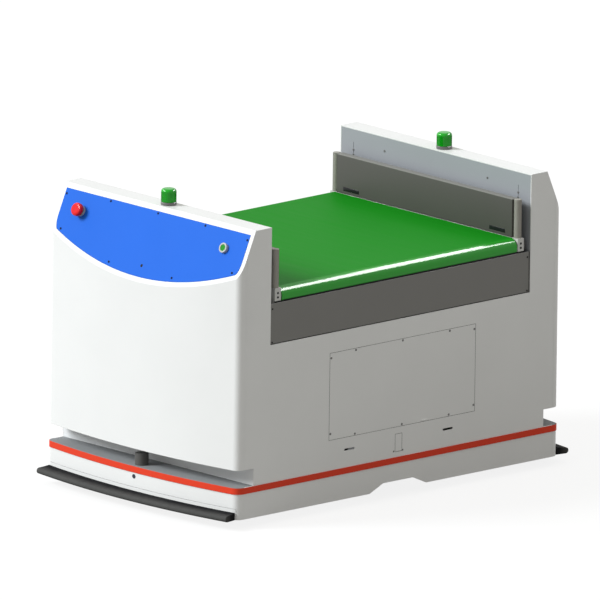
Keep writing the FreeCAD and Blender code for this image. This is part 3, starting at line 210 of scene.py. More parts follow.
def rubber_group():
    """Moulded rubber: fine pimpled grain and dust caught on it."""
    tree, entry, leaving = group(
        "Moulded Rubber Texture",
        {"Colour": (0.03, 0.03, 0.03, 1), "Dust Colour": (0.2, 0.19, 0.18, 1), "Dust": 0.2, "Roughness": 0.6},
        {"Colour": "NodeSocketColor", "Roughness": "NodeSocketFloat", "Normal": "NodeSocketVector"})
    place = object_place(tree)
    drift = noise(tree, place, scale=11.0, detail=8.0)
    settled = reckoned(tree, "MULTIPLY", carried(tree, drift, start=0.4, stop=0.75), entry["Dust"])
    tree.links.new(mixed(tree, settled, entry["Colour"], entry["Dust Colour"]), leaving["Colour"])
    patches = carried(tree, drift, 0.0, 1.0, low=-0.1, high=0.12)
    tree.links.new(reckoned(tree, "ADD", entry["Roughness"], patches), leaving["Roughness"])
    pimples = tree.nodes.new("ShaderNodeTexVoronoi")
    pimples.inputs["Scale"].default_value = 520.0
    tree.links.new(place, pimples.inputs["Vector"])
    grain = relief(tree, pimples.outputs["Distance"], strength=0.16, depth=0.0006)
    tree.links.new(soft_edges(tree, radius=0.0015), grain.inputs["Normal"])
    tree.links.new(grain.outputs["Normal"], leaving["Normal"])
    return tree


moulded_rubber_texture = rubber_group()


def rubbery(name, colour, dusted, roughness, dust, specular=0.4):
    """A moulded rubber or soft plastic surface."""
    return surface(
        name, moulded_rubber_texture,
        {"Colour": (*colour, 1), "Dust Colour": (*dusted, 1), "Dust": dust, "Roughness": roughness},
        {"Specular IOR Level": specular})


tyre_black = rubbery("Tyre Black", (0.028, 0.028, 0.03), (0.16, 0.15, 0.14), roughness=0.62, dust=0.45)
motor_black = painted("Motor Black", (0.03, 0.031, 0.034), (0.25, 0.25, 0.25), roughness=0.42, wear=0.5)
cast_aluminium = painted("Cast Aluminium", (0.55, 0.56, 0.57), (0.75, 0.75, 0.75),
                         roughness=0.4, wear=0.4, metallic=0.9)
dress(motor_black, "motor_black", "drive_gearmotors")
dress(cast_aluminium, "frame_aluminium", "left_drive_hub", "right_drive_hub")
dress(tyre_black, "tyre_black", "left_drive_tyre", "right_drive_tyre")


def face_select(piece, test):
    """Selects the faces of one piece that pass a test on middle and normal, in edit mode."""
    bpy.ops.object.select_all(action="DESELECT")
    piece.select_set(True)
    bpy.context.view_layer.objects.active = piece
    bpy.ops.object.mode_set(mode="EDIT")
    bpy.ops.mesh.select_mode(type="FACE")
    bpy.ops.mesh.select_all(action="DESELECT")
    bpy.ops.object.mode_set(mode="OBJECT")
    for face in piece.data.polygons:
        face.select = test(face.center, face.normal)
    bpy.ops.object.mode_set(mode="EDIT")


def round_bar(vertices, radius, height):
    """A plain cylinder, its foot at the origin, standing up."""
    bpy.ops.object.select_all(action="DESELECT")
    bpy.ops.mesh.primitive_cylinder_add(vertices=vertices, radius=radius, depth=height,
                                        location=(0, 0, height / 2))
    bpy.ops.object.transform_apply(location=True)
    return bpy.context.active_object


def round_head(vertices, radius, height, rounding, rim, recess):
    """A round head with a rounded edge and a recess, its seat at the origin, facing up."""
    head = round_bar(vertices, radius, height)
    face_select(head, lambda middle, normal: normal.z > 0.9)
    bpy.ops.mesh.bevel(offset=rounding, segments=2, affect="EDGES")
    bpy.ops.object.mode_set(mode="OBJECT")
    face_select(head, lambda middle, normal: normal.z > 0.99 and middle.z > height * 0.95)
    bpy.ops.mesh.inset(thickness=rim)
    bpy.ops.mesh.extrude_region_move(TRANSFORM_OT_translate={"value": (0, 0, -recess)})
    bpy.ops.object.mode_set(mode="OBJECT")
    return head


def screw(radius, height):
    """A low screw head with a socket in it."""
    return round_head(12, radius, height, rounding=height * 0.4, rim=radius * 0.38, recess=height * 0.6)


def copied(model, place, outward=None):
    """A copy of a model with its own mesh, set down at a place and turned to face outward."""
    bpy.ops.object.select_all(action="DESELECT")
    model.select_set(True)
    bpy.context.view_layer.objects.active = model
    bpy.ops.object.duplicate(linked=False)
    one = bpy.context.active_object
    if outward:
        one.rotation_euler = Vector(outward).to_track_quat("Z", "Y").to_euler()
    one.location = place
    bpy.ops.object.transform_apply(location=True, rotation=True, scale=True)
    return one


def joined(pieces):
    """One object out of several, in the order given."""
    bpy.ops.object.select_all(action="DESELECT")
    for piece in pieces:
        piece.select_set(True)
    bpy.context.view_layer.objects.active = pieces[0]
    bpy.ops.object.join()
    return pieces[0]


def finished(piece, name, material, body, smooth=40):
    """Puts a shaped piece's transforms into its mesh, dresses it and hangs it on its body."""
    if bpy.context.mode != "OBJECT":
        bpy.ops.object.mode_set(mode="OBJECT")
    bpy.ops.object.select_all(action="DESELECT")
    piece.select_set(True)
    bpy.context.view_layer.objects.active = piece
    bpy.ops.object.transform_apply(location=True, rotation=True, scale=True)
    bpy.ops.object.mode_set(mode="EDIT")
    bpy.ops.mesh.select_all(action="SELECT")
    bpy.ops.mesh.remove_doubles(threshold=0.00001)
    bpy.ops.mesh.normals_make_consistent(inside=False)
    bpy.ops.object.mode_set(mode="OBJECT")
    bpy.ops.object.shade_smooth_by_angle(angle=radians(smooth))
    piece.name = name
    piece.data.materials.clear()
    piece.data.materials.append(material)
    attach(piece, body)
    return piece


def screw_set(model, name, seats, material, body):
    """Copies of one screw at (place, outward) seats, joined into one piece."""
    heads = [copied(model, place, outward) for place, outward in seats]
    return finished(joined(heads), name, material, body, smooth=30)


axle_height, bolt_circle, bolts, web_depth = 0.08, 0.0375, 5, 0.020
hub_screw = screw(0.0055, 0.0045)
for side, name in ((1, "left"), (-1, "right")):
    low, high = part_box(name + "_drive_hub")
    web = high.x - web_depth if side > 0 else low.x + web_depth
    seats = []
    for step in range(bolts):
        turn = 2 * pi * step / bolts
        seats.append(((web, bolt_circle * cos(turn), axle_height + bolt_circle * sin(turn)), (side, 0, 0)))
    screw_set(hub_screw, name + "_wheel_bolts", seats, zinc_steel, name + "_drive_wheel")
bpy.data.objects.remove(hub_screw)


# ---------------------------------------------------------------- casters
# Four swivel casters, pressed and zinc plated, with grey non-marking wheels.
# Their top plates are bolted under seats that are welded to the chassis.

caster_grey = rubbery("Caster Grey", (0.19, 0.19, 0.20), (0.32, 0.31, 0.30), roughness=0.55, dust=0.4)
dress(zinc_steel, "zinc_steel", "caster_mounts")
for corner in ("front_left", "front_right", "rear_left", "rear_right"):
    dress(zinc_steel, "zinc_steel", corner + "_caster_fork")
    dress(caster_grey, "caster_grey", corner + "_caster_wheel")


# ---------------------------------------------------------------- skirts
# Folded sheet skirts close the base, white like the body above, with a red
# strip stuck round just below the ledge that the body's recess stands on. A
# small dark sensor eye is let into the middle of each end.

white_cover = painted("White Cover", (0.80, 0.80, 0.795), (0.88, 0.88, 0.87),
                      roughness=0.42, wear=0.2, specular=0.3)
# The ledge is painted dark grey as painted shade under the overhang of the covers.
ledge_grey = painted("Ledge Painted Shade Grey", (0.27, 0.28, 0.29), (0.5, 0.5, 0.5), roughness=0.6, wear=0.2, specular=0.1)
recess_grey = painted("Recess Grey", (0.78, 0.79, 0.80), (0.8, 0.8, 0.8), roughness=0.5, wear=0.2)
trim_red = painted("Trim Red", (0.73, 0.052, 0.020), (0.78, 0.25, 0.18),
                   roughness=0.5, wear=0.15, specular=0.15)
dress(white_cover, "white_cover", "end_skirts", "side_skirts")
dress(ledge_grey, "ledge_grey", "end_ledges")
dress(recess_grey, "ledge_grey", "recess_walls")
dress(trim_red, "trim_red", "red_trim_band")

eye_blue = painted("Eye Blue", (0.006, 0.010, 0.030), (0.05, 0.06, 0.09), roughness=0.25, wear=0.1)
eye_seat, eye_height = 0.6784, 0.093
skirt_eye = round_head(32, radius=0.0068, height=0.0026, rounding=0.0006, rim=0.0016, recess=0.0007)
for end, name in ((-1, "front"), (1, "rear")):
    eye = copied(skirt_eye, (0, end * eye_seat, eye_height), (0, end, 0))
    finished(eye, name + "_skirt_eye", eye_blue, "chassis")
bpy.data.objects.remove(skirt_eye)


# ---------------------------------------------------------------- scanners
# A laser scanner stands in the middle of each ledge: a dark moulded housing
# with a darker band for the beam, and a drum that turns inside it.

scanner_grey = painted("Scanner Grey", (0.100, 0.098, 0.094), (0.2, 0.2, 0.2),
                       roughness=0.5, wear=0.3, specular=0.08)
sensor_black = painted("Sensor Black", (0.010, 0.010, 0.012), (0.08, 0.08, 0.08),
                       roughness=0.2, wear=0.2, specular=0.2)
dress(scanner_grey, "scanner_grey", "scanner_housings")
dress(sensor_black, "sensor_black", "sensor_windows")
dress(cast_aluminium, "frame_aluminium", "front_scanner_rotor", "rear_scanner_rotor")


# ---------------------------------------------------------------- bumpers
# A rubber section follows the bow of each end on a steel carrier, which slides
# in on two guide pins when something touches it.

def bumper_shade_group():
    """Painted shade and light on the rubber: paler towards its nose as painted light, black against the skirt
    as painted shade.
    """
    tree, entry, leaving = group(
        "Bumper Painted Shade And Light",
        {"Bow Radius": 2.4, "Bow Centre": 1.7,
         "Shaded Colour": (0.02, 0.02, 0.02, 1), "Lit Colour": (0.1, 0.1, 0.1, 1)},
        {"Colour": "NodeSocketColor"})
    place = object_place(tree)
    parts = tree.nodes.new("ShaderNodeSeparateXYZ")
    tree.links.new(place, parts.inputs["Vector"])
    along = reckoned(tree, "ABSOLUTE", parts.outputs["Y"])
    flat = tree.nodes.new("ShaderNodeCombineXYZ")
    tree.links.new(parts.outputs["X"], flat.inputs["X"])
    tree.links.new(reckoned(tree, "ADD", along, entry["Bow Centre"]), flat.inputs["Y"])
    reach = tree.nodes.new("ShaderNodeVectorMath")
    reach.operation = "LENGTH"
    tree.links.new(flat.outputs["Vector"], reach.inputs[0])
    proud = reckoned(tree, "SUBTRACT", reach.outputs["Value"], entry["Bow Radius"])
    unevenness = noise(tree, place, scale=60.0, detail=6.0)
    ragged = reckoned(tree, "MULTIPLY_ADD", unevenness, 0.012, proud)
    # Out along the bow the rubber turns paler as painted light; near the skirt it stays dark as painted
    # shade.
    lit_share = carried(tree, ragged, start=0.020, stop=0.050)
    tree.links.new(mixed(tree, lit_share, entry["Shaded Colour"], entry["Lit Colour"]), leaving["Colour"])
    return tree


bumper_black = rubbery("Bumper Black", (0.05, 0.05, 0.05), (0.10, 0.10, 0.10),
                       roughness=0.85, dust=0.15, specular=0.05)
# The bumper rubber's colour is painted shade against the skirt and painted light towards the nose.
tree = bumper_black.node_tree
nose = tree.nodes.new("ShaderNodeGroup")
nose.node_tree = bumper_shade_group()
nose.inputs["Bow Radius"].default_value = 2.419
nose.inputs["Bow Centre"].default_value = 1.739
nose.inputs["Shaded Colour"].default_value = (0.009, 0.009, 0.010, 1)
nose.inputs["Lit Colour"].default_value = (0.076, 0.076, 0.074, 1)
tree.links.new(nose.outputs["Colour"], tree.nodes["Skin"].inputs["Colour"])
dress(white_cover, "white_cover", "front_bumper_carrier", "rear_bumper_carrier")
dress(bumper_black, "bumper_black", "front_bumper_rubber", "rear_bumper_rubber")


# ---------------------------------------------------------------- body covers
# The two bowed end covers are moulded, the side panels and the walls of the
# load bay are folded sheet; all are screwed to the upper frame. A door and a
# small service plate close each side, and a grey fascia runs below the deck.

bay_grey = painted("Bay Wall Grey", (0.30, 0.315, 0.34), (0.5, 0.5, 0.52), roughness=0.5, wear=0.2)
fascia_grey = painted("Fascia Grey", (0.148, 0.144, 0.132), (0.35, 0.34, 0.32), roughness=0.5, wear=0.2)
dress(white_cover, "white_cover", "front_cover", "rear_cover", "side_panels",
      "access_doors", "service_plates")
dress(bay_grey, "ledge_grey", "tower_walls")
dress(fascia_grey, "fascia_grey", "bay_fascias")

panel_screw = painted("Panel Screw", (0.16, 0.16, 0.155), (0.4, 0.4, 0.4),
                      roughness=0.45, wear=0.2, metallic=0.3)
dark_steel = painted("Blackened Screw", (0.020, 0.020, 0.019), (0.1, 0.1, 0.1),
                     roughness=0.5, wear=0.2, specular=0.1)
small_screw = screw(0.0027, 0.0011)
large_screw = screw(0.0036, 0.0011)
wall_sheet = 0.003
door_low, door_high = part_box("access_doors")
plate_low, plate_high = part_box("service_plates")
fascia_low, fascia_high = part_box("bay_fascias")
wall_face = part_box("tower_walls")[1].y - wall_sheet
door_middle = (door_low.y + door_high.y) / 2
door_margin, door_pitch = 0.005, 0.189
low_corner, high_corner = 0.019, 0.015
plate_front, plate_rear, plate_rise = 0.006, 0.003, 0.0015
fascia_margin, fascia_foot, fascia_drop = 0.008, 0.026, 0.016
wall_places = ((0.221, 0.8510), (0.354, 0.8314), (0.354, 0.8163))
door, plate, fascia, wall = [], [], [], []
for side in (1, -1):
    outward = (side, 0, 0)
    for y in (door_middle - door_pitch, door_middle, door_middle + door_pitch):
        for z in (door_low.z + door_margin, door_high.z - door_margin):
            door.append(((side * door_high.x, y, z), outward))
    for y in (door_low.y + door_margin, door_high.y - door_margin):
        for z in (door_low.z + low_corner, door_high.z - high_corner):
            door.append(((side * door_high.x, y, z), outward))
    for y in (plate_low.y - plate_front, plate_high.y + plate_rear):
        plate.append(((side * plate_high.x, y, plate_low.z + plate_rise), outward))
    for y in (fascia_low.y + fascia_margin, fascia_high.y - fascia_margin):
        for z in (fascia_low.z + fascia_foot, fascia_high.z - fascia_drop):
            fascia.append(((side * fascia_high.x, y, z), outward))
    for end in (1, -1):
        for x, z in wall_places:
            wall.append(((side * x, end * wall_face, z), (0, -end, 0)))
screw_set(large_screw, "door_screws", door, panel_screw, "chassis")
screw_set(small_screw, "service_plate_screws", plate, panel_screw, "chassis")
screw_set(small_screw, "fascia_screws", fascia, dark_steel, "chassis")
screw_set(large_screw, "bay_wall_screws", wall, panel_screw, "chassis")
bpy.data.objects.remove(small_screw)


def bar(low, high, edge):
    """A straight bar between two corners, with its edges rounded."""
    bpy.ops.object.select_all(action="DESELECT")
    middle = [(a + b) / 2 for a, b in zip(low, high)]
    bpy.ops.mesh.primitive_cube_add(size=1, location=middle)
    made = bpy.context.active_object
    made.scale = [abs(b - a) for a, b in zip(low, high)]
    bpy.ops.object.transform_apply(location=True, scale=True)
    bpy.ops.object.mode_set(mode="EDIT")
    bpy.ops.mesh.select_all(action="SELECT")
    bpy.ops.mesh.bevel(offset=edge, segments=3, affect="EDGES")
    bpy.ops.object.mode_set(mode="OBJECT")
    return made


# Black for the door seals and wall seams, and for strips that are painted shadow in gaps.
seal_and_shadow_black = rubbery("Seal And Painted Shadow Black", (0.010, 0.010, 0.010), (0.04, 0.04, 0.04),
                     roughness=0.8, dust=0.2, specular=0.1)
lip_front, lip_rear, lip_foot, lip_top = 0.090, 0.114, door_low.z + 0.001, door_low.z + 0.006
lip_sunk, lip_proud = 0.0019, 0.0011
seal_gap, plate_seal_drop, seal_tall, seal_wide = 0.00075, 0.00125, 0.0009, 0.0011
seal_sunk, seal_proud, shadow_gap_proud = 0.0004, 0.00012, 0.0007
door_seal = (door_low.y - seal_gap, door_high.y + seal_gap, door_low.z - seal_gap, door_high.z + seal_gap)
plate_seal = (plate_low.y - seal_gap, plate_high.y + seal_gap,
              plate_low.z - plate_seal_drop, plate_high.z + seal_gap)
shadow_gap_end, shadow_gap_foot, shadow_gap_top, shadow_gap_tall, shadow_gap_wide = 0.5222, 0.5398, 0.6628, 0.0020, 0.0022
for side, name in ((1, "left"), (-1, "right")):
    under, over = side * (door_high.x - lip_sunk), side * (door_high.x + lip_proud)
    lip = bar((under, lip_front, lip_foot), (over, lip_rear, lip_top), edge=0.0009)
    finished(lip, name + "_door_finger_lip", white_cover, "chassis")
    under, over = side * (door_high.x - seal_sunk), side * (door_high.x + seal_proud)
    strips = []
    for front, rear, foot, top in (door_seal, plate_seal):
        strips.append(bar((under, front, foot), (over, rear, foot + seal_tall), edge=0.0001))
        strips.append(bar((under, front, top - seal_tall), (over, rear, top), edge=0.0001))
        strips.append(bar((under, front, foot), (over, front + seal_wide, top), edge=0.0001))
        strips.append(bar((under, rear - seal_wide, foot), (over, rear, top), edge=0.0001))
    finished(joined(strips), name + "_door_seal", seal_and_shadow_black, "chassis")
    # A black strip round the sides and foot of each fascia is painted shadow in the gap between fascia and
    # side panel.
    under, over = side * (fascia_high.x - seal_sunk), side * (fascia_high.x + shadow_gap_proud)
    strips = [bar((under, -shadow_gap_end, shadow_gap_foot),
                  (over, shadow_gap_end, shadow_gap_foot + shadow_gap_tall), edge=0.0003)]
    for front in (-shadow_gap_end, shadow_gap_end - shadow_gap_wide):
        strips.append(bar((under, front, shadow_gap_foot), (over, front + shadow_gap_wide, shadow_gap_top), edge=0.0003))
    finished(joined(strips), name + "_fascia_shadow_gap", seal_and_shadow_black, "chassis")
seam_inner, seam_outer, seam_foot, seam_top = 0.3535, 0.3547, 0.817, 0.855
seam_sunk, seam_proud = 0.0005, 0.0002
seams = []
for side in (1, -1):
    for end in (1, -1):
        seams.append(bar((side * seam_inner, end * (wall_face + seam_sunk), seam_foot),
                         (side * seam_outer, end * (wall_face - seam_proud), seam_top), edge=0.0002))
finished(joined(seams), "bay_wall_seams", seal_and_shadow_black, "chassis")


# ---------------------------------------------------------------- console
# A blue panel lies in the slope of the front cover, with the emergency stop on
# the right of the vehicle and the start button on its left. Nine dark screws
# hold it: three along the top, two at each end and two in the arc below.

panel_blue = painted("Panel Blue", (0.015, 0.132, 0.66), (0.08, 0.22, 0.75),
                     roughness=0.5, wear=0.1, specular=0.08)
collar_grey = painted("Collar Grey", (0.42, 0.42, 0.40), (0.6, 0.6, 0.6), roughness=0.35, wear=0.2)
stop_red = painted("Stop Red", (0.72, 0.004, 0.008), (0.8, 0.1, 0.1),
                   roughness=0.3, wear=0.1, coat=0.35, specular=0.1)
start_green = painted("Start Green", (0.010, 0.25, 0.010), (0.1, 0.4, 0.1),
                      roughness=0.35, wear=0.1, specular=0.1)
dress(panel_blue, "panel_blue", "console_panel")
dress(collar_grey, "collar_grey", "estop_base", "start_button_bezel")
dress(zinc_steel, "zinc_steel", "estop_stem")
dress(stop_red, "stop_red", "estop_head")
dress(start_green, "start_green", "start_button_cap")

slope_start, slope_pitch = 0.587, 2.3
rise, run = slope_pitch / sqrt(1 + slope_pitch ** 2), 1 / sqrt(1 + slope_pitch ** 2)
cover_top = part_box("front_cover")[1].z


def on_slope(x, drop, out):
    """A point down the slope of the front cover from its upper edge, out from its plane."""
    return (x, -(slope_start + drop * run + out * rise), cover_top - drop * rise + out * run)


outward = (0, -rise, run)
console_screw = painted("Console Screw", (0.004, 0.010, 0.05), (0.03, 0.04, 0.1),
                        roughness=0.5, wear=0.2, specular=0.1)
panel_proud = 0.0005
screw_places = (
    (0, 0.0225), (0.203, 0.0225), (-0.203, 0.0225), (0.388, 0.033), (-0.388, 0.033),
    (0.368, 0.138), (-0.368, 0.138), (0.135, 0.197), (-0.135, 0.197))
seats = [(on_slope(x, drop, panel_proud), outward) for x, drop in screw_places]
screw_set(large_screw, "console_screws", seats, console_screw, "chassis")
bpy.data.objects.remove(large_screw)


# ---------------------------------------------------------------- beacons
# A signal lamp stands on the top of each tower: a moulded green lens with a
# rounded rim and fine ribs all round, pushed onto a short dark steel base.

beacon_steel = painted("Beacon Base Steel", (0.13, 0.13, 0.125), (0.4, 0.4, 0.4), roughness=0.35, wear=0.3)
beacon_green = painted("Beacon Green", (0.001, 0.36, 0.006), (0.05, 0.5, 0.05),
                       roughness=0.3, wear=0.1, coat=0.5, specular=0.1)
dress(beacon_steel, "collar_grey", "beacon_bases")
dome_foot, dome_height, dome_place = 0.9052, 0.0388, 0.55475
rim_band, rib_band = 0.0005, 0.009
dome = round_bar(72, radius=0.0229, height=dome_height)
bpy.ops.object.mode_set(mode="EDIT")
bpy.ops.mesh.select_all(action="DESELECT")
bpy.ops.mesh.select_mode(type="EDGE")
bpy.ops.object.mode_set(mode="OBJECT")
points = dome.data.vertices
for edge in dome.data.edges:
    edge.select = all(points[i].co.z > dome_height - rim_band for i in edge.vertices)
bpy.ops.object.mode_set(mode="EDIT")
bpy.ops.mesh.bevel(offset=0.0085, segments=7, affect="EDGES", clamp_overlap=False)
bpy.ops.object.mode_set(mode="OBJECT")
face_select(dome, lambda middle, normal: abs(normal.z) < 0.2 and middle.z < dome_height - rib_band)
bpy.ops.mesh.inset(thickness=0.00028, use_individual=True)
bpy.ops.mesh.extrude_region_shrink_fatten(TRANSFORM_OT_shrink_fatten={"value": -0.00035})
bpy.ops.object.mode_set(mode="OBJECT")
domes = [copied(dome, (0, end * dome_place, dome_foot)) for end in (-1, 1)]
bpy.data.objects.remove(dome)
lenses = finished(joined(domes), "beacon_domes", beacon_green, "chassis", smooth=35)
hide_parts("beacon_lenses")


# ---------------------------------------------------------------- conveyor
# A green belt runs across the vehicle over two rollers and a steel bed, and a
# geared motor under the deck drives it through a toothed belt. Metal guards
# with fluted end posts keep the load on it; their faces are painted dark as
# painted shade and their top edge paler as painted light.

def belt_group():
    """Smooth sheet on a cloth core: faint weave, scuffs along the run, a shine where it bends, and a flat top
    coloured darker than the bend as painted shade.
    """
    tree, entry, leaving = group(
        "Belt Sheet Texture",
        {"Colour": (0.0, 0.3, 0.0, 1), "Scuff Colour": (0.1, 0.4, 0.1, 1), "Bend Colour": (0.0, 0.35, 0.0, 1),
         "Roughness": 0.6, "Bend Start": 0.4},
        {"Colour": "NodeSocketColor", "Roughness": "NodeSocketFloat", "Shine": "NodeSocketFloat",
         "Normal": "NodeSocketVector"})
    place = object_place(tree)
    drawn = tree.nodes.new("ShaderNodeMapping")
    drawn.inputs["Scale"].default_value = (3.0, 40.0, 3.0)
    tree.links.new(place, drawn.inputs["Vector"])
    scuff = noise(tree, drawn.outputs["Vector"], scale=1.0, detail=6.0)
    marks = carried(tree, scuff, start=0.45, stop=0.80, high=0.30)
    scuffed_shaded_top = mixed(tree, marks, entry["Colour"], entry["Scuff Colour"])
    patches = carried(tree, scuff, 0.0, 1.0, low=-0.08, high=0.08)
    tree.links.new(reckoned(tree, "ADD", entry["Roughness"], patches), leaving["Roughness"])

    parts = tree.nodes.new("ShaderNodeSeparateXYZ")
    tree.links.new(place, parts.inputs["Vector"])
    across = reckoned(tree, "ABSOLUTE", parts.outputs["X"])
    past = reckoned(tree, "SUBTRACT", across, entry["Bend Start"])
    bend = carried(tree, past, start=0.002, stop=0.010)
    # The flat top keeps the darker colour as painted shade; the bend takes the lighter one.
    tree.links.new(mixed(tree, bend, scuffed_shaded_top, entry["Bend Colour"]), leaving["Colour"])
    tree.links.new(reckoned(tree, "MULTIPLY", bend, 0.5), leaving["Shine"])

    threads = tree.nodes.new("ShaderNodeTexVoronoi")
    threads.inputs["Scale"].default_value = 620.0
    threads.inputs["Randomness"].default_value = 0.25
    tree.links.new(place, threads.inputs["Vector"])
    weave = relief(tree, threads.outputs["Distance"], strength=0.10, depth=0.0003)
    tree.links.new(weave.outputs["Normal"], leaving["Normal"])
    return tree


roller_low, roller_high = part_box("drive_roller")
# The top colour is darker than the bend colour: painted shade on the flat of the belt.
belt_green = surface(
    "Belt Green", belt_group(),
    {"Colour": (0.0015, 0.215, 0.003, 1), "Bend Colour": (0.001, 0.33, 0.002, 1),
     "Scuff Colour": (0.010, 0.25, 0.010, 1), "Roughness": 0.62,
     "Bend Start": (roller_low.x + roller_high.x) / 2},
    {"Specular IOR Level": 0.08, "Coat Roughness": 0.10})
block_pale = painted("Block Pale", (0.55, 0.55, 0.53), (0.7, 0.7, 0.7), roughness=0.4, wear=0.3)
# The guard faces are painted dark as painted shade, and their top edge is a paler copy of the same metal as
# painted light.
guard_shaded_metal = painted("Guard Metal Painted Shade", (0.080, 0.078, 0.070), (0.3, 0.3, 0.28),
                      roughness=0.5, wear=0.3, specular=0.2)
guard_lit_edge = painted("Guard Edge Painted Light", (0.22, 0.215, 0.20), (0.4, 0.4, 0.38),
                     roughness=0.45, wear=0.3, specular=0.2)
guard_post = painted("Guard Post Metal", (0.36, 0.345, 0.31), (0.55, 0.55, 0.53),
                     roughness=0.45, wear=0.3, specular=0.2)
frame_aluminium = painted("Frame Aluminium", (0.42, 0.42, 0.41), (0.6, 0.6, 0.6),
                          roughness=0.4, wear=0.3, metallic=0.6)
dress(frame_aluminium, "frame_aluminium", "conveyor_side_frames", "motor_pulley")
dress(zinc_steel, "zinc_steel", "drive_roller", "tail_roller")
dress(block_pale, "block_pale", "bearing_blocks")
dress(belt_green, "belt_green", "conveyor_belt")
dress(zinc_steel, "zinc_steel", "slider_bed")
dress(motor_black, "motor_black", "conveyor_gearmotor")
dress(tyre_black, "bumper_black", "timing_belt")

guard_foot, guard_top, guard_half = 0.7062, 0.8220, 0.3768
guard_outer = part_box("load_guards")[1].y
guard_inner = guard_outer - 0.024
panel_drop, edge_tall = 0.0012, 0.0020
window_inner, window_outer, window_foot, window_top = 0.280, 0.348, 0.715, 0.727
window_proud, window_sunk = 0.0006, 0.0030
post_place = (0.3893, 0.4887)
post = round_bar(24, radius=0.0115, height=guard_top - guard_foot)
face_select(post, lambda middle, normal: normal.z > 0.9)
bpy.ops.mesh.inset(thickness=0.0012)
bpy.ops.mesh.extrude_region_move(TRANSFORM_OT_translate={"value": (0, 0, 0.0004)})
bpy.ops.object.mode_set(mode="OBJECT")
face_select(post, lambda middle, normal: abs(normal.z) < 0.1 and middle.z < 0.09)
bpy.ops.mesh.inset(thickness=0.0004, use_individual=True)
bpy.ops.mesh.extrude_region_shrink_fatten(TRANSFORM_OT_shrink_fatten={"value": -0.0004})
bpy.ops.object.mode_set(mode="OBJECT")
panels, edges, posts, windows = [], [], [], []
for end in (1, -1):
    inner, outer = end * guard_inner, end * guard_outer
    panels.append(bar((-guard_half, inner, guard_foot),
                      (guard_half, outer, guard_top - panel_drop), edge=0.0010))
    edges.append(bar((-guard_half, inner, guard_top - edge_tall),
                     (guard_half, outer, guard_top), edge=0.0006))
    for side in (1, -1):
        windows.append(bar((side * window_inner, end * (guard_inner - window_proud), window_foot),
                           (side * window_outer, end * (guard_inner + window_sunk), window_top), edge=0.0006))
        posts.append(copied(post, (side * post_place[0], end * post_place[1], guard_foot)))
bpy.data.objects.remove(post)
guard_panels = finished(joined(panels), "load_guard_panels", guard_shaded_metal, "chassis")
finished(joined(edges), "load_guard_edges", guard_lit_edge, "chassis")
finished(joined(posts), "load_guard_posts", guard_post, "chassis")
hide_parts("load_guards")
belt_eyes = finished(joined(windows), "belt_sensor_windows", sensor_black, "chassis")
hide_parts("belt_sensors")

# A black strip behind the top edge of each fascia is painted shadow in the gap under the belt.
shadow_strip_inner, shadow_strip_outer, shadow_strip_end, shadow_strip_foot, shadow_strip_top = 0.4029, 0.40375, 0.5030, 0.6555, 0.6678
for side, name in ((1, "left"), (-1, "right")):
    strip = bar((side * shadow_strip_inner, -shadow_strip_end, shadow_strip_foot),
                (side * shadow_strip_outer, shadow_strip_end, shadow_strip_top), edge=0.0002)
    finished(strip, name + "_deck_shadow_strip", seal_and_shadow_black, "chassis")

block_screw = screw(0.0036, 0.0012)
block_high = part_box("bearing_blocks")[1]
block_middle = block_high.y - 0.012
block_rows = (0.6783, 0.6912)
seats = []
for side in (1, -1):
    for y in (-block_middle, block_middle):
        for z in block_rows:
            seats.append(((side * block_high.x, y, z), (side, 0, 0)))
screw_set(block_screw, "bearing_block_screws", seats, sensor_black, "chassis")
bpy.data.objects.remove(block_screw)


# ---------------------------------------------------------------- studio
# A white sweep of floor, an even pale surround, one broad key light from the
# front right of the vehicle, and strips that only show in glossy pieces. The
# floor and the surround are white where they are seen and dim as light.

def seen_rays(tree):
    """1 for the rays that show the surround: seen at once, mirrored or through glass."""
    path = tree.nodes.new("ShaderNodeLightPath").outputs
    shown = reckoned(tree, "MAXIMUM", path["Is Camera Ray"], path["Is Glossy Ray"])
    return reckoned(tree, "MAXIMUM", shown, path["Is Transmission Ray"])


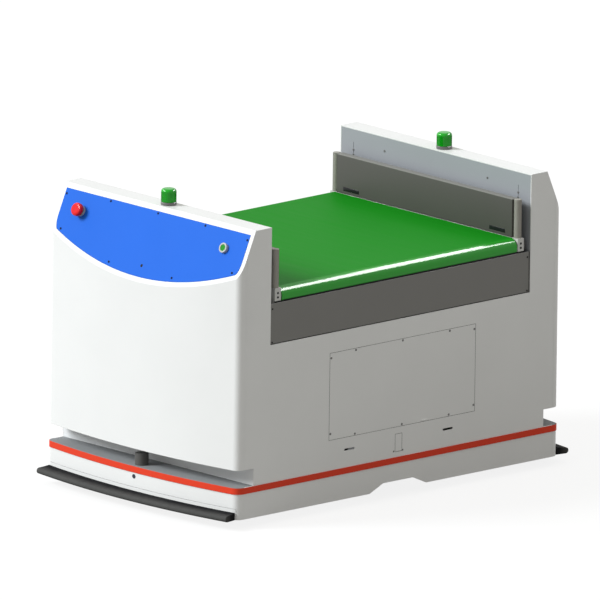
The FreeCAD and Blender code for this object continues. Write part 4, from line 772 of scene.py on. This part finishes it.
bpy.ops.object.select_all(action="DESELECT")
bpy.ops.mesh.primitive_plane_add(size=60, location=(0, 0, -0.0005))
floor = bpy.context.active_object
floor.name = "studio_floor"
pale = bpy.data.materials.new("Studio Floor")
pale.use_nodes = True
tree = pale.node_tree
shader = tree.nodes["Principled BSDF"]
shader.inputs["Roughness"].default_value = 1.0
shader.inputs["Specular IOR Level"].default_value = 0.0
shader.inputs["Emission Color"].default_value = (1, 1, 1, 1)
seen = seen_rays(tree)
feed(tree, shader.inputs["Base Color"], mixed(tree, seen, (0.29, 0.287, 0.275, 1), (0.17, 0.17, 0.17, 1)))
feed(tree, shader.inputs["Emission Strength"], reckoned(tree, "MULTIPLY", seen, 0.85))
floor.data.materials.append(pale)

world = bpy.data.worlds.new("Studio")
bpy.context.scene.world = world
world.use_nodes = True
tree = world.node_tree
sky = tree.nodes["Background"]
seen = seen_rays(tree)
feed(tree, sky.inputs["Strength"], carried(tree, seen, 0.0, 1.0, low=0.55, high=1.0))
feed(tree, sky.inputs["Color"], mixed(tree, seen, (1.0, 0.99, 0.945, 1), (1, 1, 1, 1)))

bpy.ops.object.light_add(type="SUN", location=(-1, -3, 3))
key = bpy.context.active_object
key.name = "key_light"
key.data.energy = 3.32
key.data.color = (0.94, 0.98, 1.0)
key.data.angle = radians(26)
key.rotation_euler = Vector((-0.45, -0.68, 0.57)).to_track_quat("Z", "Y").to_euler()

for name, place, aim, width, power in (
    ("strip_back", (1.15, 2.4, 3.3), (0.39, 0.0, 0.7), 2.8, 240),
    ("strip_side", (-2.8, -1.2, 3.2), (0.0, 0.0, 0.75), 1.2, 60),
):
    bpy.ops.object.light_add(type="AREA", location=place)
    strip = bpy.context.active_object
    strip.name = name
    strip.data.shape = "RECTANGLE"
    strip.data.size, strip.data.size_y = width, 0.8
    strip.data.energy = power
    strip.rotation_euler = (Vector(place) - Vector(aim)).to_track_quat("Z", "Y").to_euler()
    strip.visible_diffuse = False
    strip.visible_camera = False

bpy.ops.object.camera_add()
camera = bpy.context.active_object
camera.name = "camera"
camera.data.type = "ORTHO"
camera.data.ortho_scale = 1.763
camera.data.clip_start, camera.data.clip_end = 0.1, 40.0
across = Vector((0.68367, 0.72967, 0.01347))
upward = Vector((-0.17806, 0.14887, 0.97269))
toward = across.cross(upward).normalized()
aim, distance = Vector((-0.0904, 0.0662, 0.4948)), 8.0
turned = Matrix((across, upward, toward)).transposed().to_4x4()
turned.translation = aim + toward * distance
camera.matrix_world = turned
bpy.context.scene.camera = camera

bpy.context.scene.view_settings.view_transform = "Standard"
